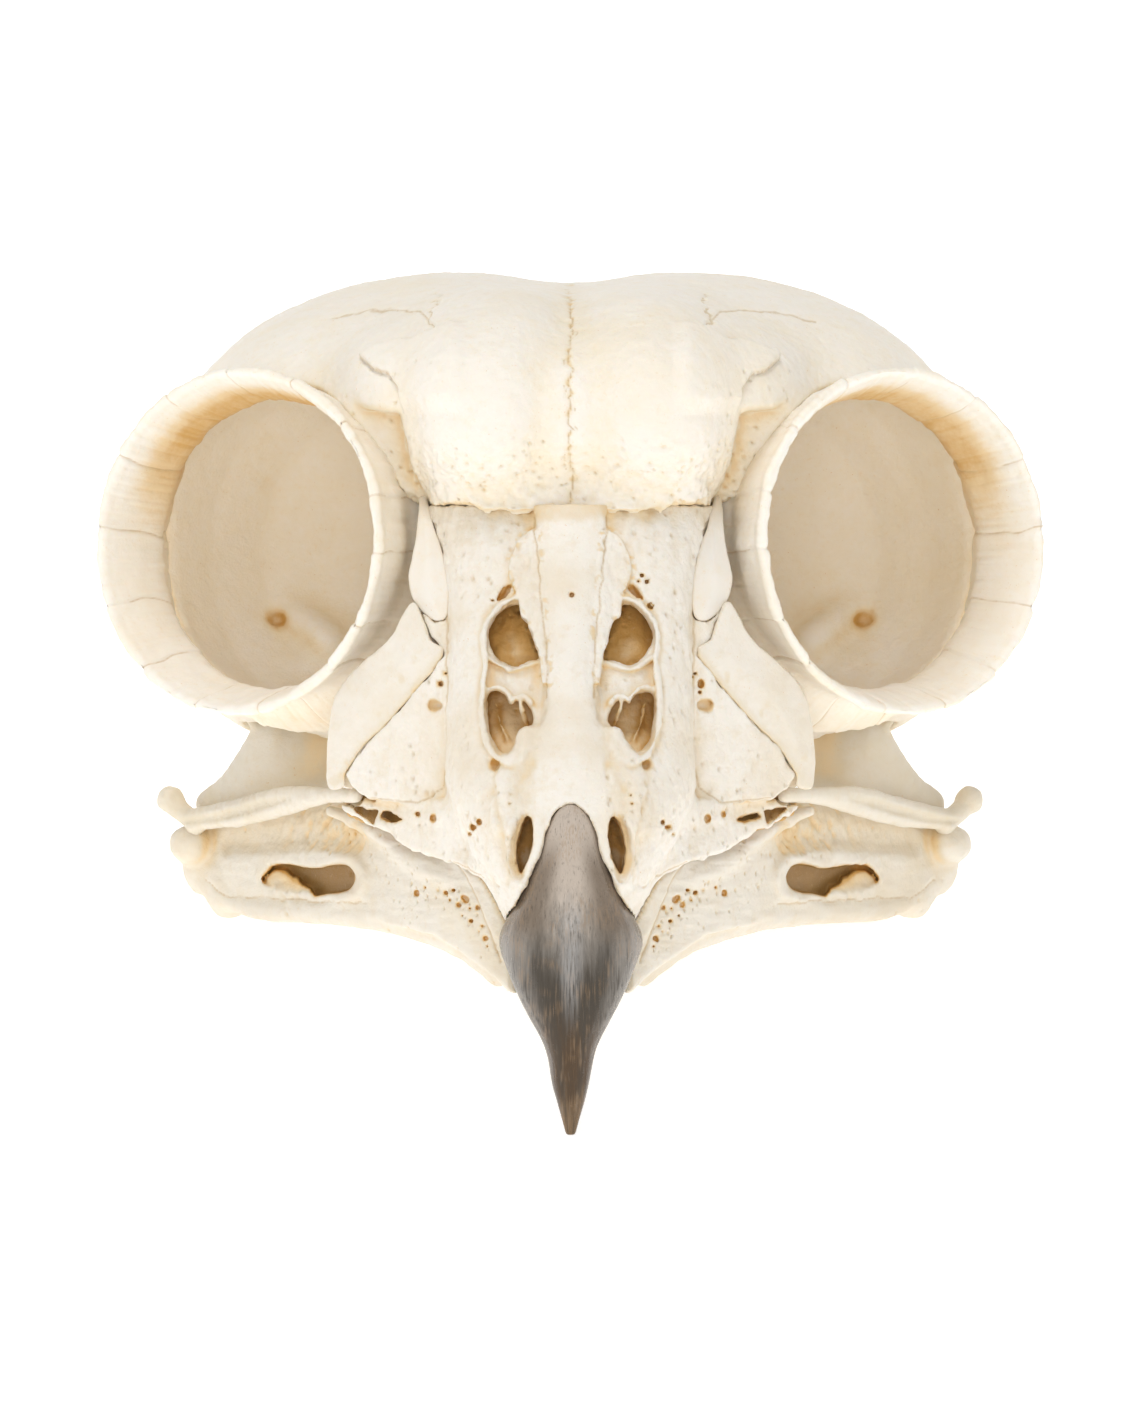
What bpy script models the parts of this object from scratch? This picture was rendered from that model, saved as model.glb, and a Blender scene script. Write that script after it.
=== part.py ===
"""Owl skull, life size, at rest on its bill, jaw corners and nape.

Every bone is shaped in the skull's own frame, in millimetres: X to the skull's left,
Y from the face to the nape, Z up, with the tip of the upper bill at zero. One empty
then pitches the whole skull back onto the surface that it lies on.
"""
import math

import bmesh
import bpy
from mathutils import Matrix, Vector

# ---- driving dimensions, millimetres and degrees ----
MM = 0.001
SNAP = 0.06               # a point nearer the middle plane than this is laid on it
JOINT_GAP = 0.3           # clear space left between two bones that meet
REST_PITCH = 21.0         # how far the face tips up when the skull lies at rest
REST_CENTRE_Y = 45.0      # middle of the resting skull's length, behind the bill tip

CROWN_Z = 69.7            # top of the two swellings of the crown
NAPE_Y = 77.5             # rearmost point of the braincase
FOREHEAD_END_Y = 24.0     # where the forehead passes into the braincase
BROW_LIP_Z = 57.6         # underside of the orbit's roof beside the forehead
BOSS_HALF = 13.4          # half width of the forehead's two pillows
HINGE_Z = 49.2            # level at which the face bends against the forehead
JAW_BACK_Y = 20.0         # where the face ends against the septum
ARTICULAR_X = 31.2        # jaw joint, out from the middle
ARTICULAR_Y = 44.0

RING_CENTRE = (26.8, 17.5, 47.2)   # middle of the eye ring's outer rim
RING_SPREAD = 34.0                 # how far each eye looks to its side
RING_RISE = 1.9                    # and above the level
RING_WALL = 0.8
RING_BORE = ((0.0, 13.3), (1.2, 12.8), (3.5, 12.1), (5.9, 11.8), (8.0, 13.2), (10.5, 14.5))
ORBIT_CLEARANCE = 0.65
BONE_CLEARANCE = 0.6
PALATE = ((0.0, 9.0, 18.3), (0.0, 0.33, -0.94))    # a point on the palate, and its normal

SEAM = ((10.2, 37.9), (14.1, 33.2), (18.1, 28.5))   # X and Z between the two cheek plates
SEAM_OUT = (0.2, 0.16)             # half of the clear seam, across it
PLATE_THICK = 1.5
PLATE_SWEEP = 0.55                 # how fast the cheek falls back towards its edge

BONE = (0.86, 0.79, 0.66)
HORN = (0.16, 0.13, 0.11)


# ---- small tools ----
def material(name, colour, roughness):
    """A plain Principled finish."""
    finish = bpy.data.materials.new(name)
    finish.use_nodes = True
    shader = finish.node_tree.nodes["Principled BSDF"]
    shader.inputs["Base Color"].default_value = (*colour, 1.0)
    shader.inputs["Roughness"].default_value = roughness
    shader.inputs["Metallic"].default_value = 0.0
    return finish


def spline(points, steps):
    """Points along a smooth curve through the given ones (Catmull-Rom)."""
    knots = [Vector(point) for point in points]
    knots = [2 * knots[0] - knots[1], *knots, 2 * knots[-1] - knots[-2]]
    track = []
    for before, start, end, after in zip(knots, knots[1:], knots[2:], knots[3:]):
        for step in range(steps):
            t = step / steps
            track.append(0.5 * (2 * start + (end - before) * t
                                + (2 * before - 5 * start + 4 * end - after) * t ** 2
                                + (3 * start - before - 3 * end + after) * t ** 3))
    track.append(knots[-2])
    return track


def lump(bm, centre, radii, power=2.2, turn=None):
    """Add a superellipsoid, rounder or squarer as its power says."""
    made = bmesh.ops.create_uvsphere(bm, u_segments=32, v_segments=20, radius=1.0)
    spin = turn or Matrix.Identity(3)
    for vert in made["verts"]:
        reach = sum(abs(part) ** power for part in vert.co) ** (-1.0 / power)
        local = Vector(part * reach * radius for part, radius in zip(vert.co, radii))
        vert.co = Vector(centre) + spin @ local


def loop_at(bm, centre, side, rise, half_side, half_rise, power, count):
    """Add one closed section of superellipse shape."""
    ring = []
    for step in range(count):
        angle = math.tau * step / count
        cosine, sine = math.cos(angle), math.sin(angle)
        reach = (abs(cosine) ** power + abs(sine) ** power) ** (-1.0 / power)
        ring.append(bm.verts.new(centre + side * (half_side * cosine * reach)
                                 + rise * (half_rise * sine * reach)))
    return ring


def skin_loops(bm, rings):
    """Join sections into a closed tube with capped ends."""
    for first, second in zip(rings, rings[1:]):
        for step in range(len(first)):
            after = (step + 1) % len(first)
            bm.faces.new((first[step], first[after], second[after], second[step]))
    bm.faces.new(reversed(rings[0]))
    bm.faces.new(rings[-1])


def bar(bm, points, sizes, rise=(0.0, 0.0, 1.0), power=2.0, steps=4, count=14):
    """Add a bone bar along a smooth path. Each size is (half thickness, half height)."""
    track = spline(points, steps)
    spread = spline([(*size, 0.0) for size in sizes], steps)
    rings = []
    for place, here in enumerate(track):
        ahead = track[min(place + 1, len(track) - 1)] - track[max(place - 1, 0)]
        side = ahead.cross(Vector(rise)).normalized()
        upright = side.cross(ahead).normalized()
        rings.append(loop_at(bm, here, side, upright, spread[place].x, spread[place].y, power, count))
    skin_loops(bm, rings)


def stack(bm, stations, power=2.4, count=28, grow=0.0, steps=4):
    """Add a form from level sections. A station is (z, half width, front y, rear y)."""
    levels = spline([(z, half, front) for z, half, front, rear in stations], steps)
    rears = spline([(z, half, rear) for z, half, front, rear in stations], steps)
    rings = []
    for level, rear in zip(levels, rears):
        centre = Vector((0.0, (level.z + rear.z) / 2, level.x))
        depth = (rear.z - level.z) / 2
        rings.append(loop_at(bm, centre, Vector((1, 0, 0)), Vector((0, 1, 0)),
                             level.y + grow, depth + grow, power, count))
    skin_loops(bm, rings)


def plate(bm, outline, sweep, thick):
    """Add a plate from its front outline (x, z), falling back along its sweep line."""
    front = [bm.verts.new((x, sweep(x, z), z)) for x, z in outline]
    rear = [bm.verts.new((x, sweep(x, z) + thick, z)) for x, z in outline]
    bm.faces.new(front)
    bm.faces.new(reversed(rear))
    for step in range(len(outline)):
        after = (step + 1) % len(outline)
        bm.faces.new((front[after], front[step], rear[step], rear[after]))


def turned(bm, profile, place, count):
    """Add a closed turned form. The profile is (depth along the axis, radius) points."""
    rings = []
    for depth, radius in profile:
        ring = []
        for step in range(count):
            angle = math.tau * step / count
            spot = Vector((radius * math.cos(angle), radius * math.sin(angle), depth))
            ring.append(bm.verts.new(place @ spot))
        rings.append(ring)
    return rings


def eye_axis():
    """Matrix whose Z runs down the left eye ring, from its outer rim inwards."""
    spread, rise = math.radians(RING_SPREAD), math.radians(RING_RISE)
    inwards = Vector((-math.sin(spread), math.cos(spread), -math.sin(rise))).normalized()
    turn = inwards.to_track_quat("Z", "Y").to_matrix().to_4x4()
    return Matrix.Translation(RING_CENTRE) @ turn


def orbit_cutter(bm):
    """The space that the left eye ring and the orbit behind it take out of the bone."""
    outside = RING_WALL + ORBIT_CLEARANCE
    profile = [(-16.0, RING_BORE[0][1] + outside + 1.6)]
    profile += [(depth, radius + outside) for depth, radius in RING_BORE]
    profile += [(11.3, 16.0), (12.6, 15.2), (16.0, 14.2), (20.0, 11.8), (23.0, 7.4), (24.3, 3.6)]
    rings = turned(bm, profile, eye_axis(), 40)
    skin_loops(bm, [list(reversed(ring)) for ring in rings])


def box(bm, low, high, place=None):
    """Add a box between two corners."""
    middle = (Vector(low) + Vector(high)) / 2
    size = Vector(high) - Vector(low)
    matrix = (place or Matrix.Identity(4)) @ Matrix.Translation(middle) @ Matrix.Diagonal((*size, 1))
    bmesh.ops.create_cube(bm, size=1.0, matrix=matrix)


def make(name, draw):
    """Run a drawing function on a new mesh and return it as an object."""
    bm = bmesh.new()
    draw(bm)
    bmesh.ops.recalc_face_normals(bm, faces=bm.faces)
    mesh = bpy.data.meshes.new(name)
    bm.to_mesh(mesh)
    bm.free()
    piece = bpy.data.objects.new(name, mesh)
    bpy.context.scene.collection.objects.link(piece)
    return piece


def settle(piece):
    """Replace a piece's mesh by what its modifiers make of it."""
    graph = bpy.context.evaluated_depsgraph_get()
    solid = bpy.data.meshes.new_from_object(piece.evaluated_get(graph))
    old = piece.data
    piece.modifiers.clear()
    piece.data = solid
    bpy.data.meshes.remove(old)


def fuse(piece, voxel, ease=4):
    """Melt overlapping lumps into one skin and ease its steps."""
    melt = piece.modifiers.new("melt", "REMESH")
    melt.mode = "VOXEL"
    melt.voxel_size = voxel
    soften = piece.modifiers.new("soften", "SMOOTH")
    soften.factor = 0.5
    soften.iterations = ease
    settle(piece)


def carve(piece, draw):
    """Cut a piece by one drawn form."""
    cutter = make("cutter", draw)
    cut = piece.modifiers.new("cut", "BOOLEAN")
    cut.operation = "DIFFERENCE"
    cut.solver = "EXACT"
    cut.object = cutter
    settle(piece)
    spent = cutter.data
    bpy.data.objects.remove(cutter)
    bpy.data.meshes.remove(spent)


def thin_out(piece, triangles):
    """Bring a piece down to about this many triangles."""
    piece.data.calc_loop_triangles()
    share = triangles / len(piece.data.loop_triangles)
    if share < 1.0:
        collapse = piece.modifiers.new("collapse", "DECIMATE")
        collapse.ratio = share
        collapse.use_collapse_triangulate = True
        settle(piece)


def edit(piece, work):
    """Run a bmesh edit on a piece."""
    bm = bmesh.new()
    bm.from_mesh(piece.data)
    work(bm)
    bm.to_mesh(piece.data)
    bm.free()


def trim(piece, point, away):
    """Cut a piece off flat, dropping what lies on the side that `away` points to."""
    def work(bm):
        everything = [*bm.verts, *bm.edges, *bm.faces]
        cut = bmesh.ops.bisect_plane(bm, geom=everything, dist=1e-5, plane_co=Vector(point),
                                     plane_no=Vector(away), clear_outer=True)
        rim = [part for part in cut["geom_cut"] if isinstance(part, bmesh.types.BMEdge)]
        cap = bmesh.ops.holes_fill(bm, edges=rim, sides=0)
        bmesh.ops.triangulate(bm, faces=cap["faces"])
        bmesh.ops.recalc_face_normals(bm, faces=bm.faces)
    edit(piece, work)


def reflect(piece):
    """Keep the left half of a middle bone and mirror it to the right."""
    def work(bm):
        for vert in bm.verts:
            if abs(vert.co.x) < SNAP:
                vert.co.x = 0.0
        everything = [*bm.verts, *bm.edges, *bm.faces]
        bmesh.ops.bisect_plane(bm, geom=everything, dist=SNAP / 10, plane_co=(0, 0, 0),
                               plane_no=(1, 0, 0), clear_inner=True)
        everything = [*bm.verts, *bm.edges, *bm.faces]
        bmesh.ops.mirror(bm, geom=everything, axis="X", merge_dist=SNAP / 10)
        bmesh.ops.dissolve_degenerate(bm, dist=SNAP / 10, edges=bm.edges)
        bmesh.ops.triangulate(bm, faces=bm.faces)
        bmesh.ops.recalc_face_normals(bm, faces=bm.faces)
    edit(piece, work)


def pair(piece, name):
    """Name a left bone and add its mirrored right fellow."""
    piece.name = name + "_left"
    fellow = bpy.data.objects.new(name + "_right", piece.data.copy())
    bpy.context.scene.collection.objects.link(fellow)

    def work(bm):
        for vert in bm.verts:
            vert.co.x = -vert.co.x
        bmesh.ops.reverse_faces(bm, faces=bm.faces)
    edit(fellow, work)
    return [piece, fellow]


def cheek_depth(x, z):
    """How far back the cheek's front surface lies."""
    return 8.0 + PLATE_SWEEP * (x - 10.0)


# ---- the bones ----
def draw_cranium(bm):
    """Braincase, brows, forehead pillows, septum and nape, before the orbits are cut."""
    for side in (-1, 1):
        lump(bm, (side * 10.5, 40.0, 50.0), (21.2, 23.0, CROWN_Z - 50.0))
        lump(bm, (side * 20.0, 33.5, 53.0), (11.5, 14.0, 11.8))
        lump(bm, (side * 8.0, 26.0, 57.2), (13.0, 16.0, 9.6))
        lump(bm, (side * 8.5, 34.0, 56.0), (14.0, 15.0, 13.1))
        lump(bm, (side * 24.3, 42.0, 46.5), (10.0, 11.0, 14.5))
        lump(bm, (side * 6.5, 17.6, 56.9), (6.8, 13.0, 7.6), power=2.7)
        lump(bm, (side * 15.0, 51.5, 44.0), (15.6, 17.5, 15.2))
        lump(bm, (side * 12.3, 63.0, 35.5), (8.6, 9.6, 11.0))
    lump(bm, (0.0, 18.2, 56.4), (4.5, 12.4, 7.2), power=2.7)
    lump(bm, (0.0, 37.0, 50.0), (12.0, 26.0, 18.5))
    lump(bm, (0.0, 49.5, 48.0), (26.5, NAPE_Y - 49.5, 20.6))
    lump(bm, (0.0, 30.0, 47.0), (5.2, 16.0, 15.0), power=3.0)
    lump(bm, (0.0, 56.5, 36.5), (17.0, 19.0, 9.4))
    lump(bm, (0.0, 73.5, 34.0), (2.8, 4.0, 2.8), power=2.0)
    bar(bm, [(0, JAW_BACK_Y, 32.5), (0, 34.0, 32.0), (0, 48.0, 32.0)], [(1.8, 2.0), (2.2, 2.4), (3.5, 3.0)])


def round_braincase(bm):
    """Ease the creases between the lumps of the braincase, and leave the forehead crisp."""
    rear = [vert for vert in bm.verts if vert.co.y > FOREHEAD_END_Y]
    crest = [vert for vert in rear if vert.co.y > FOREHEAD_END_Y + 5.0]
    for step in range(26):
        bmesh.ops.smooth_vert(bm, verts=rear if step % 3 == 0 else crest, factor=0.5)


def cranium():
    """The braincase bone with its two orbits, ear hollows and the nape's opening."""
    bone = make("cranium", draw_cranium)
    fuse(bone, 0.8, ease=5)
    edit(bone, round_braincase)
    carve(bone, orbit_cutter)
    carve(bone, lambda bm: box(bm, (-30, -6, -20), (30, JAW_BACK_Y + JOINT_GAP, HINGE_Z + JOINT_GAP)))
    carve(bone, lambda bm: palatine_form(bm, 1, BONE_CLEARANCE))
    carve(bone, temple_scoop)
    carve(bone, lambda bm: box(bm, (BOSS_HALF, -6, 40), (32, 24, BROW_LIP_Z)))
    carve(bone, lambda bm: lump(bm, (0.0, 77.5, 38.5), (4.2, 7.0, 4.0), power=2.0))
    carve(bone, lambda bm: lump(bm, (30.0, 53.0, 38.5), (5.5, 4.2, 7.0), power=2.0))
    carve(bone, lambda bm: quadrate_shaft(bm, BONE_CLEARANCE))
    for knob in range(len(QUADRATE_KNOBS)):
        carve(bone, lambda bm: quadrate_knob(bm, knob, BONE_CLEARANCE))
    thin_out(bone, 2150)
    reflect(bone)
    return bone


def temple_scoop(bm):
    """What the orbit's open outer and lower margin takes from the braincase's side."""
    axis = eye_axis()
    inwards = axis.to_3x3() @ Vector((0, 0, 1))
    outside = inwards.cross(Vector((0, 0, 1))).normalized()
    upright = outside.cross(inwards).normalized()
    frame = Matrix((inwards, upright, outside)).transposed()
    centre = Vector(RING_CENTRE) + frame @ Vector((0.0, -3.5, 20.0))
    lump(bm, centre, (10.4, 15.5, 18.0), power=3.2, turn=frame)


def sclerotic_ring():
    """The bony tube of the left eye, open at both ends."""
    def draw(bm):
        inner = [(depth, radius) for depth, radius in RING_BORE]
        outer = [(depth, radius + RING_WALL) for depth, radius in reversed(RING_BORE)]
        lip = [(-0.35, RING_BORE[0][1] + RING_WALL / 2)]
        rings = turned(bm, lip + inner + outer, eye_axis(), 24)
        for first, second in zip(rings, rings[1:] + rings[:1]):
            for step in range(len(first)):
                after = (step + 1) % len(first)
                bm.faces.new((first[step], first[after], second[after], second[step]))
    return make("sclerotic_ring", draw)


SHEATH = (
    # z, half width, front, rear
    (0.0, 0.35, -0.30, 0.35), (1.6, 0.80, -0.85, 0.85), (4.0, 1.45, -2.1, 1.5),
    (7.0, 2.55, -3.5, 2.1), (10.0, 3.85, -4.7, 2.9), (13.0, 5.1, -5.5, 5.1),
    (15.4, 5.7, -5.9, 7.0), (18.0, 4.5, -5.9, 6.0), (22.0, 2.5, -5.0, 0.5), (25.9, 0.8, -3.6, -2.2),
)
BILL_PARTING = ((0.0, 3.25, 9.5), (0.0, 0.791, -0.612))   # a point, and its normal to the lower bill

FACE = (
    (15.8, 4.6, -3.6, 12.5), (19.0, 6.2, -4.4, 15.0), (23.0, 8.2, -4.0, 18.0), (27.0, 9.8, -2.8, 20.4),
    (32.0, 9.9, -0.2, 21.0), (38.0, 9.9, 2.9, 21.0), (44.0, 10.1, 5.9, 21.0), (50.0, 10.9, 9.0, 20.5),
)


def upper_bill_sheath():
    """The horn of the hooked upper bill."""
    return make("upper_bill_sheath", lambda bm: stack(bm, SHEATH, power=2.1, count=12, steps=2))


def inner_cheek():
    """Front outline of the cheek plate that is one with the face."""
    seam = [(x - SEAM_OUT[0], z - SEAM_OUT[1]) for x, z in SEAM]
    return [(8.0, 39.0), *seam, (17.2, 27.3), (16.0, 26.3), (11.6, 25.9), (8.0, 25.5)]


def upper_jaw():
    """Nasal, premaxillary and inner cheek bone, with its windows and nostrils."""
    def draw(bm):
        stack(bm, FACE, power=3.2, count=36)
        bar(bm, [(0, 7.6, 50), (0, 3.6, 41.5), (0, -0.6, 33), (0, -4.2, 25)],
            [(2.9, 1.5), (2.2, 1.5), (2.0, 1.6), (3.6, 1.5)], rise=(0, -1, 0.3))
        for side in (-1, 1):
            outline = [(side * x, z) for x, z in inner_cheek()]
            plate(bm, outline[::side], lambda x, z: cheek_depth(abs(x), z), PLATE_THICK + 0.6)
            bar(bm, [(side * 8.0, 8.0, 25.4), (side * 13.0, 12.0, 25.8), (side * 17.0, 15.5, 26.0)],
                [(1.6, 2.2), (1.4, 1.3), (1.2, 0.9)])
    bone = make("upper_jaw", draw)
    fuse(bone, 0.55, ease=3)
    carve(bone, lambda bm: stack(bm, SHEATH[2:], power=2.1, grow=JOINT_GAP + 0.15))
    carve(bone, orbit_cutter)
    for side in (-1, 1):
        carve(bone, lambda bm: lacrimal_form(bm, side, BONE_CLEARANCE))
        carve(bone, lambda bm: ramus_form(bm, side, BONE_CLEARANCE))
    for low, high in ((37.5, 42.2), (30.0, 35.0)):
        carve(bone, lambda bm: lump(bm, (4.5, 2.0, (low + high) / 2), (2.0, 7.0, (high - low) / 2), power=2.5))
    carve(bone, lambda bm: lump(bm, (3.9, -3.0, 22.8), (0.9, 3.5, 2.4), power=2.2))
    thin_out(bone, 1250)
    reflect(bone)
    trim(bone, (0, 0, HINGE_Z), (0, 0, 1))
    trim(bone, (0, JAW_BACK_Y, 0), (0, 1, 0))
    trim(bone, PALATE[0], PALATE[1])
    return bone


def cheek_plate():
    """The left outer cheek plate, outside the seam."""
    seam = [(x + SEAM_OUT[0], z + SEAM_OUT[1]) for x, z in SEAM]

    def draw(bm):
        outline = [(11.6, 39.6), (12.9, 41.9), (13.7, 40.9), (15.0, 38.6), (16.7, 37.3),
                   (18.2, 35.8), (19.1, 33.4), (19.5, 30.5), (19.6, 27.8), (19.0, 27.2), *reversed(seam)]
        plate(bm, outline, cheek_depth, PLATE_THICK)
    bone = make("cheek_plate", draw)
    fuse(bone, 0.4, ease=2)
    carve(bone, orbit_cutter)
    thin_out(bone, 220)
    return bone


def lacrimal_form(bm, side, grow=0.0):
    """The swelling of the lacrimal, or the room that it needs."""
    lump(bm, (side * 10.9, 12.0, 45.1), (2.0 + grow, 3.4 + grow, 4.0 + grow))


def lacrimal():
    """The left smooth bone that swells between the face and the eye ring."""
    bone = make("lacrimal", lambda bm: lacrimal_form(bm, 1))
    thin_out(bone, 160)
    return bone


def jugal_bar():
    """The left slender cheek bar from the face to the jaw joint."""
    def draw(bm):
        bar(bm, [(17.8, 16.2, 26.0), (21.5, 24.0, 26.3), (26.0, 33.0, 26.4), (30.6, 40.0, 25.5), (33.3, 43.4, 26.3)],
            [(0.6, 1.0), (0.6, 1.1), (0.6, 1.2), (0.7, 1.3), (1.0, 1.1)], steps=3, count=8)
    return make("jugal_bar", draw)


QUADRATE_KNOBS = (((27.6, 44.4, 25.9), (3.2, 2.4, 1.5)), ((20.6, 41.6, 29.8), (2.2, 2.0, 2.0)))


def quadrate_shaft(bm, grow=0.0):
    """The quadrate's shaft, or the room that it needs."""
    path = [(21.5, 41.5, 36.0), (23.2, 40.8, 31.0), (26.0, 42.0, 27.6), (29.4, 44.0, 25.6)]
    sizes = [(3.2, 3.0), (3.3, 2.8), (2.6, 3.0), (1.3, 1.3)]
    bar(bm, [(x, y, z + grow) for x, y, z in path], [(wide + grow, deep + grow) for wide, deep in sizes],
        rise=(0, 1, 0), steps=3, count=14)


def quadrate_knob(bm, knob, grow=0.0):
    """One joint swelling of the quadrate, or the room that it needs."""
    centre, radii = QUADRATE_KNOBS[knob]
    lump(bm, centre, [radius + grow for radius in radii])


def quadrate():
    """The left block that carries the jaw joint."""
    def draw(bm):
        quadrate_shaft(bm)
        for knob in range(len(QUADRATE_KNOBS)):
            quadrate_knob(bm, knob)
    bone = make("quadrate", draw)
    fuse(bone, 0.4, ease=2)
    thin_out(bone, 240)
    return bone


LOWER_BILL = (
    (8.6, 2.0, 2.6, 5.4), (10.4, 3.6, 3.0, 8.6), (12.6, 4.9, 4.4, 11.5), (15.4, 5.9, 6.6, 12.5), (17.4, 5.6, 8.0, 12.5),
)
RAMUS = ((4.6, 8.6, 14.2), (9.0, 12.0, 17.8), (14.2, 18.5, 19.8), (20.6, 29.0, 20.8), (26.5, 38.5, 21.0), (30.6, 45.2, 21.2))
RAMUS_SIZES = ((1.4, 3.2), (1.3, 3.6), (1.2, 4.0), (1.1, 4.1), (1.2, 4.0), (1.6, 2.9))
HORN_END_Y = 8.0


def ramus_form(bm, side, grow=0.0):
    """One branch of the lower jaw, or the room that it needs."""
    bar(bm, [(side * x, y, z) for x, y, z in RAMUS],
        [(wide + grow, high + grow) for wide, high in RAMUS_SIZES], power=2.6)


def lower_bill(bm):
    """The joined front of the lower jaw."""
    stack(bm, LOWER_BILL, power=2.3, count=14, steps=3)


def lower_bill_sheath():
    """The horn on the lower bill."""
    horn = make("lower_bill_sheath", lower_bill)
    point, normal = BILL_PARTING
    trim(horn, Vector(point) + Vector(normal) * JOINT_GAP, -Vector(normal))
    trim(horn, (0, HORN_END_Y, 0), (0, 1, 0))
    return horn


def mandible():
    """Both rami and their joined front, with a window through each side."""
    def draw(bm):
        lower_bill(bm)
        for side in (-1, 1):
            ramus_form(bm, side)
            lump(bm, (side * ARTICULAR_X, ARTICULAR_Y, 22.4), (2.0, 2.6, 1.6))
            lump(bm, (side * 28.6, 45.6, 21.3), (3.0, 2.2, 2.2))
            lump(bm, (side * 28.2, 43.4, 19.2), (2.0, 3.6, 3.0))
    bone = make("mandible", draw)
    fuse(bone, 0.5, ease=2)
    carve(bone, lambda bm: lump(bm, (21.4, 30.4, 19.7), (4.6, 5.4, 1.5), power=2.6))
    thin_out(bone, 1150)
    reflect(bone)
    point, normal = BILL_PARTING
    trim(bone, Vector(point) + Vector(normal) * JOINT_GAP, -Vector(normal))
    trim(bone, (0, HORN_END_Y + JOINT_GAP, 0), (0, -1, 0))
    return bone


def palatine_form(bm, side=1, grow=0.0):
    """A plate of the palate, or the room that it needs."""
    sizes = [(2.4, 0.8), (2.9, 0.8), (2.8, 0.9), (1.3, 1.1)]
    bar(bm, [(side * 5.2, 20.5, 24.8), (side * 6.0, 27.0, 25.0), (side * 6.2, 35.0, 25.4), (side * 4.4, 41.5, 25.6)],
        [(wide + grow, thick + grow) for wide, thick in sizes], steps=3, count=8)


def palatine():
    """The left plate of the palate."""
    return make("palatine", palatine_form)


def pterygoid():
    """The left rod from the palate to the quadrate."""
    def draw(bm):
        bar(bm, [(6.4, 42.6, 25.8), (11.0, 42.8, 26.5), (18.2, 42.2, 28.2)],
            [(0.9, 1.1), (0.8, 0.9), (1.0, 1.1)], steps=3, count=8)
    return make("pterygoid", draw)


def main():
    """Build every bone, dress it and lay the skull down."""
    for old in list(bpy.data.objects):
        bpy.data.objects.remove(old)
    single = [cranium(), upper_jaw(), mandible()]
    paired = []
    for draw, name in ((sclerotic_ring, "sclerotic_ring"), (cheek_plate, "cheek_plate"),
                       (lacrimal, "lacrimal"), (jugal_bar, "jugal_bar"), (quadrate, "quadrate"),
                       (palatine, "palatine"), (pterygoid, "pterygoid")):
        paired += pair(draw(), name)
    horn = [upper_bill_sheath(), lower_bill_sheath()]

    pose = bpy.data.objects.new("rest_pose", None)
    bpy.context.scene.collection.objects.link(pose)
    pose.rotation_euler = (-math.radians(REST_PITCH), 0.0, 0.0)
    pose.location = (0.0, -REST_CENTRE_Y * MM, 0.0)
    pose.scale = (MM, MM, MM)
    down = (0.0, math.sin(math.radians(REST_PITCH)), -math.cos(math.radians(REST_PITCH)))
    for piece in single + horn[:1]:
        trim(piece, (0.0, 0.0, 0.0), down)
    for piece in single + paired + horn:
        colour, roughness = (HORN, 0.35) if piece in horn else (BONE, 0.55)
        piece.data.materials.clear()
        piece.data.materials.append(material(piece.name + "_finish", colour, roughness))
        piece.data.shade_smooth()
        piece.data.set_sharp_from_angle(angle=math.radians(40))
        piece.parent = pose


main()
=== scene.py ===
"""Dress the owl skull: bones of smooth and pitted ivory, eye rings, and a streaked horn bill.

The shapes are worked in the skull's own frame, in millimetres: X to the skull's left, Y from
the face to the nape, Z up, with the tip of the upper bill at zero. A block of signed distances
(Clay) is built up and carved like modelling clay, skinned with quads, given its fine relief and
then laid down with the skull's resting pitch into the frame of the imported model, in metres.
"""
from __future__ import annotations

import logging
import math
from dataclasses import dataclass
from enum import Enum
from typing import Callable, Sequence

import bmesh
import bpy
import numpy as np
from mathutils import Matrix, Vector

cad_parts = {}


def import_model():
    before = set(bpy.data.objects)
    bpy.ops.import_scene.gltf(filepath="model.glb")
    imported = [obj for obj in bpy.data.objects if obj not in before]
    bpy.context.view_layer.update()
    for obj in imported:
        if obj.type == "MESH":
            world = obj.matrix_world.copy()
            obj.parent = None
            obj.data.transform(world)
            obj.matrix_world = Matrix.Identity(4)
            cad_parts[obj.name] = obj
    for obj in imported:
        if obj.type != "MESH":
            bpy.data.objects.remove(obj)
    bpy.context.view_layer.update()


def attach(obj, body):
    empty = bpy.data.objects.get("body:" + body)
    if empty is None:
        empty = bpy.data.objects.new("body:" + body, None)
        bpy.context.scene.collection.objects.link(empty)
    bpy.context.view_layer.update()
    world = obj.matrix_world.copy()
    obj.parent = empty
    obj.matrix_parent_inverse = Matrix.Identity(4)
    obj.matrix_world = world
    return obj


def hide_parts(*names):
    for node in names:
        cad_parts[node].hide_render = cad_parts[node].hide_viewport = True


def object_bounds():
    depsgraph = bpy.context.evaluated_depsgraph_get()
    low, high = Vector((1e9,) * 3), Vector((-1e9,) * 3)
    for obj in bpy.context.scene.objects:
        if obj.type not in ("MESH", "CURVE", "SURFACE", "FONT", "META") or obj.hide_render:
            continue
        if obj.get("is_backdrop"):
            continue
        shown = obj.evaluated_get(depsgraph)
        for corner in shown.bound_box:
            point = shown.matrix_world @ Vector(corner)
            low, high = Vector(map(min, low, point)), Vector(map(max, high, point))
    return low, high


Array = np.ndarray
Point = tuple[float, float, float]
Spot = tuple[float, float]

LOG = logging.getLogger("owl_skull")

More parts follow.
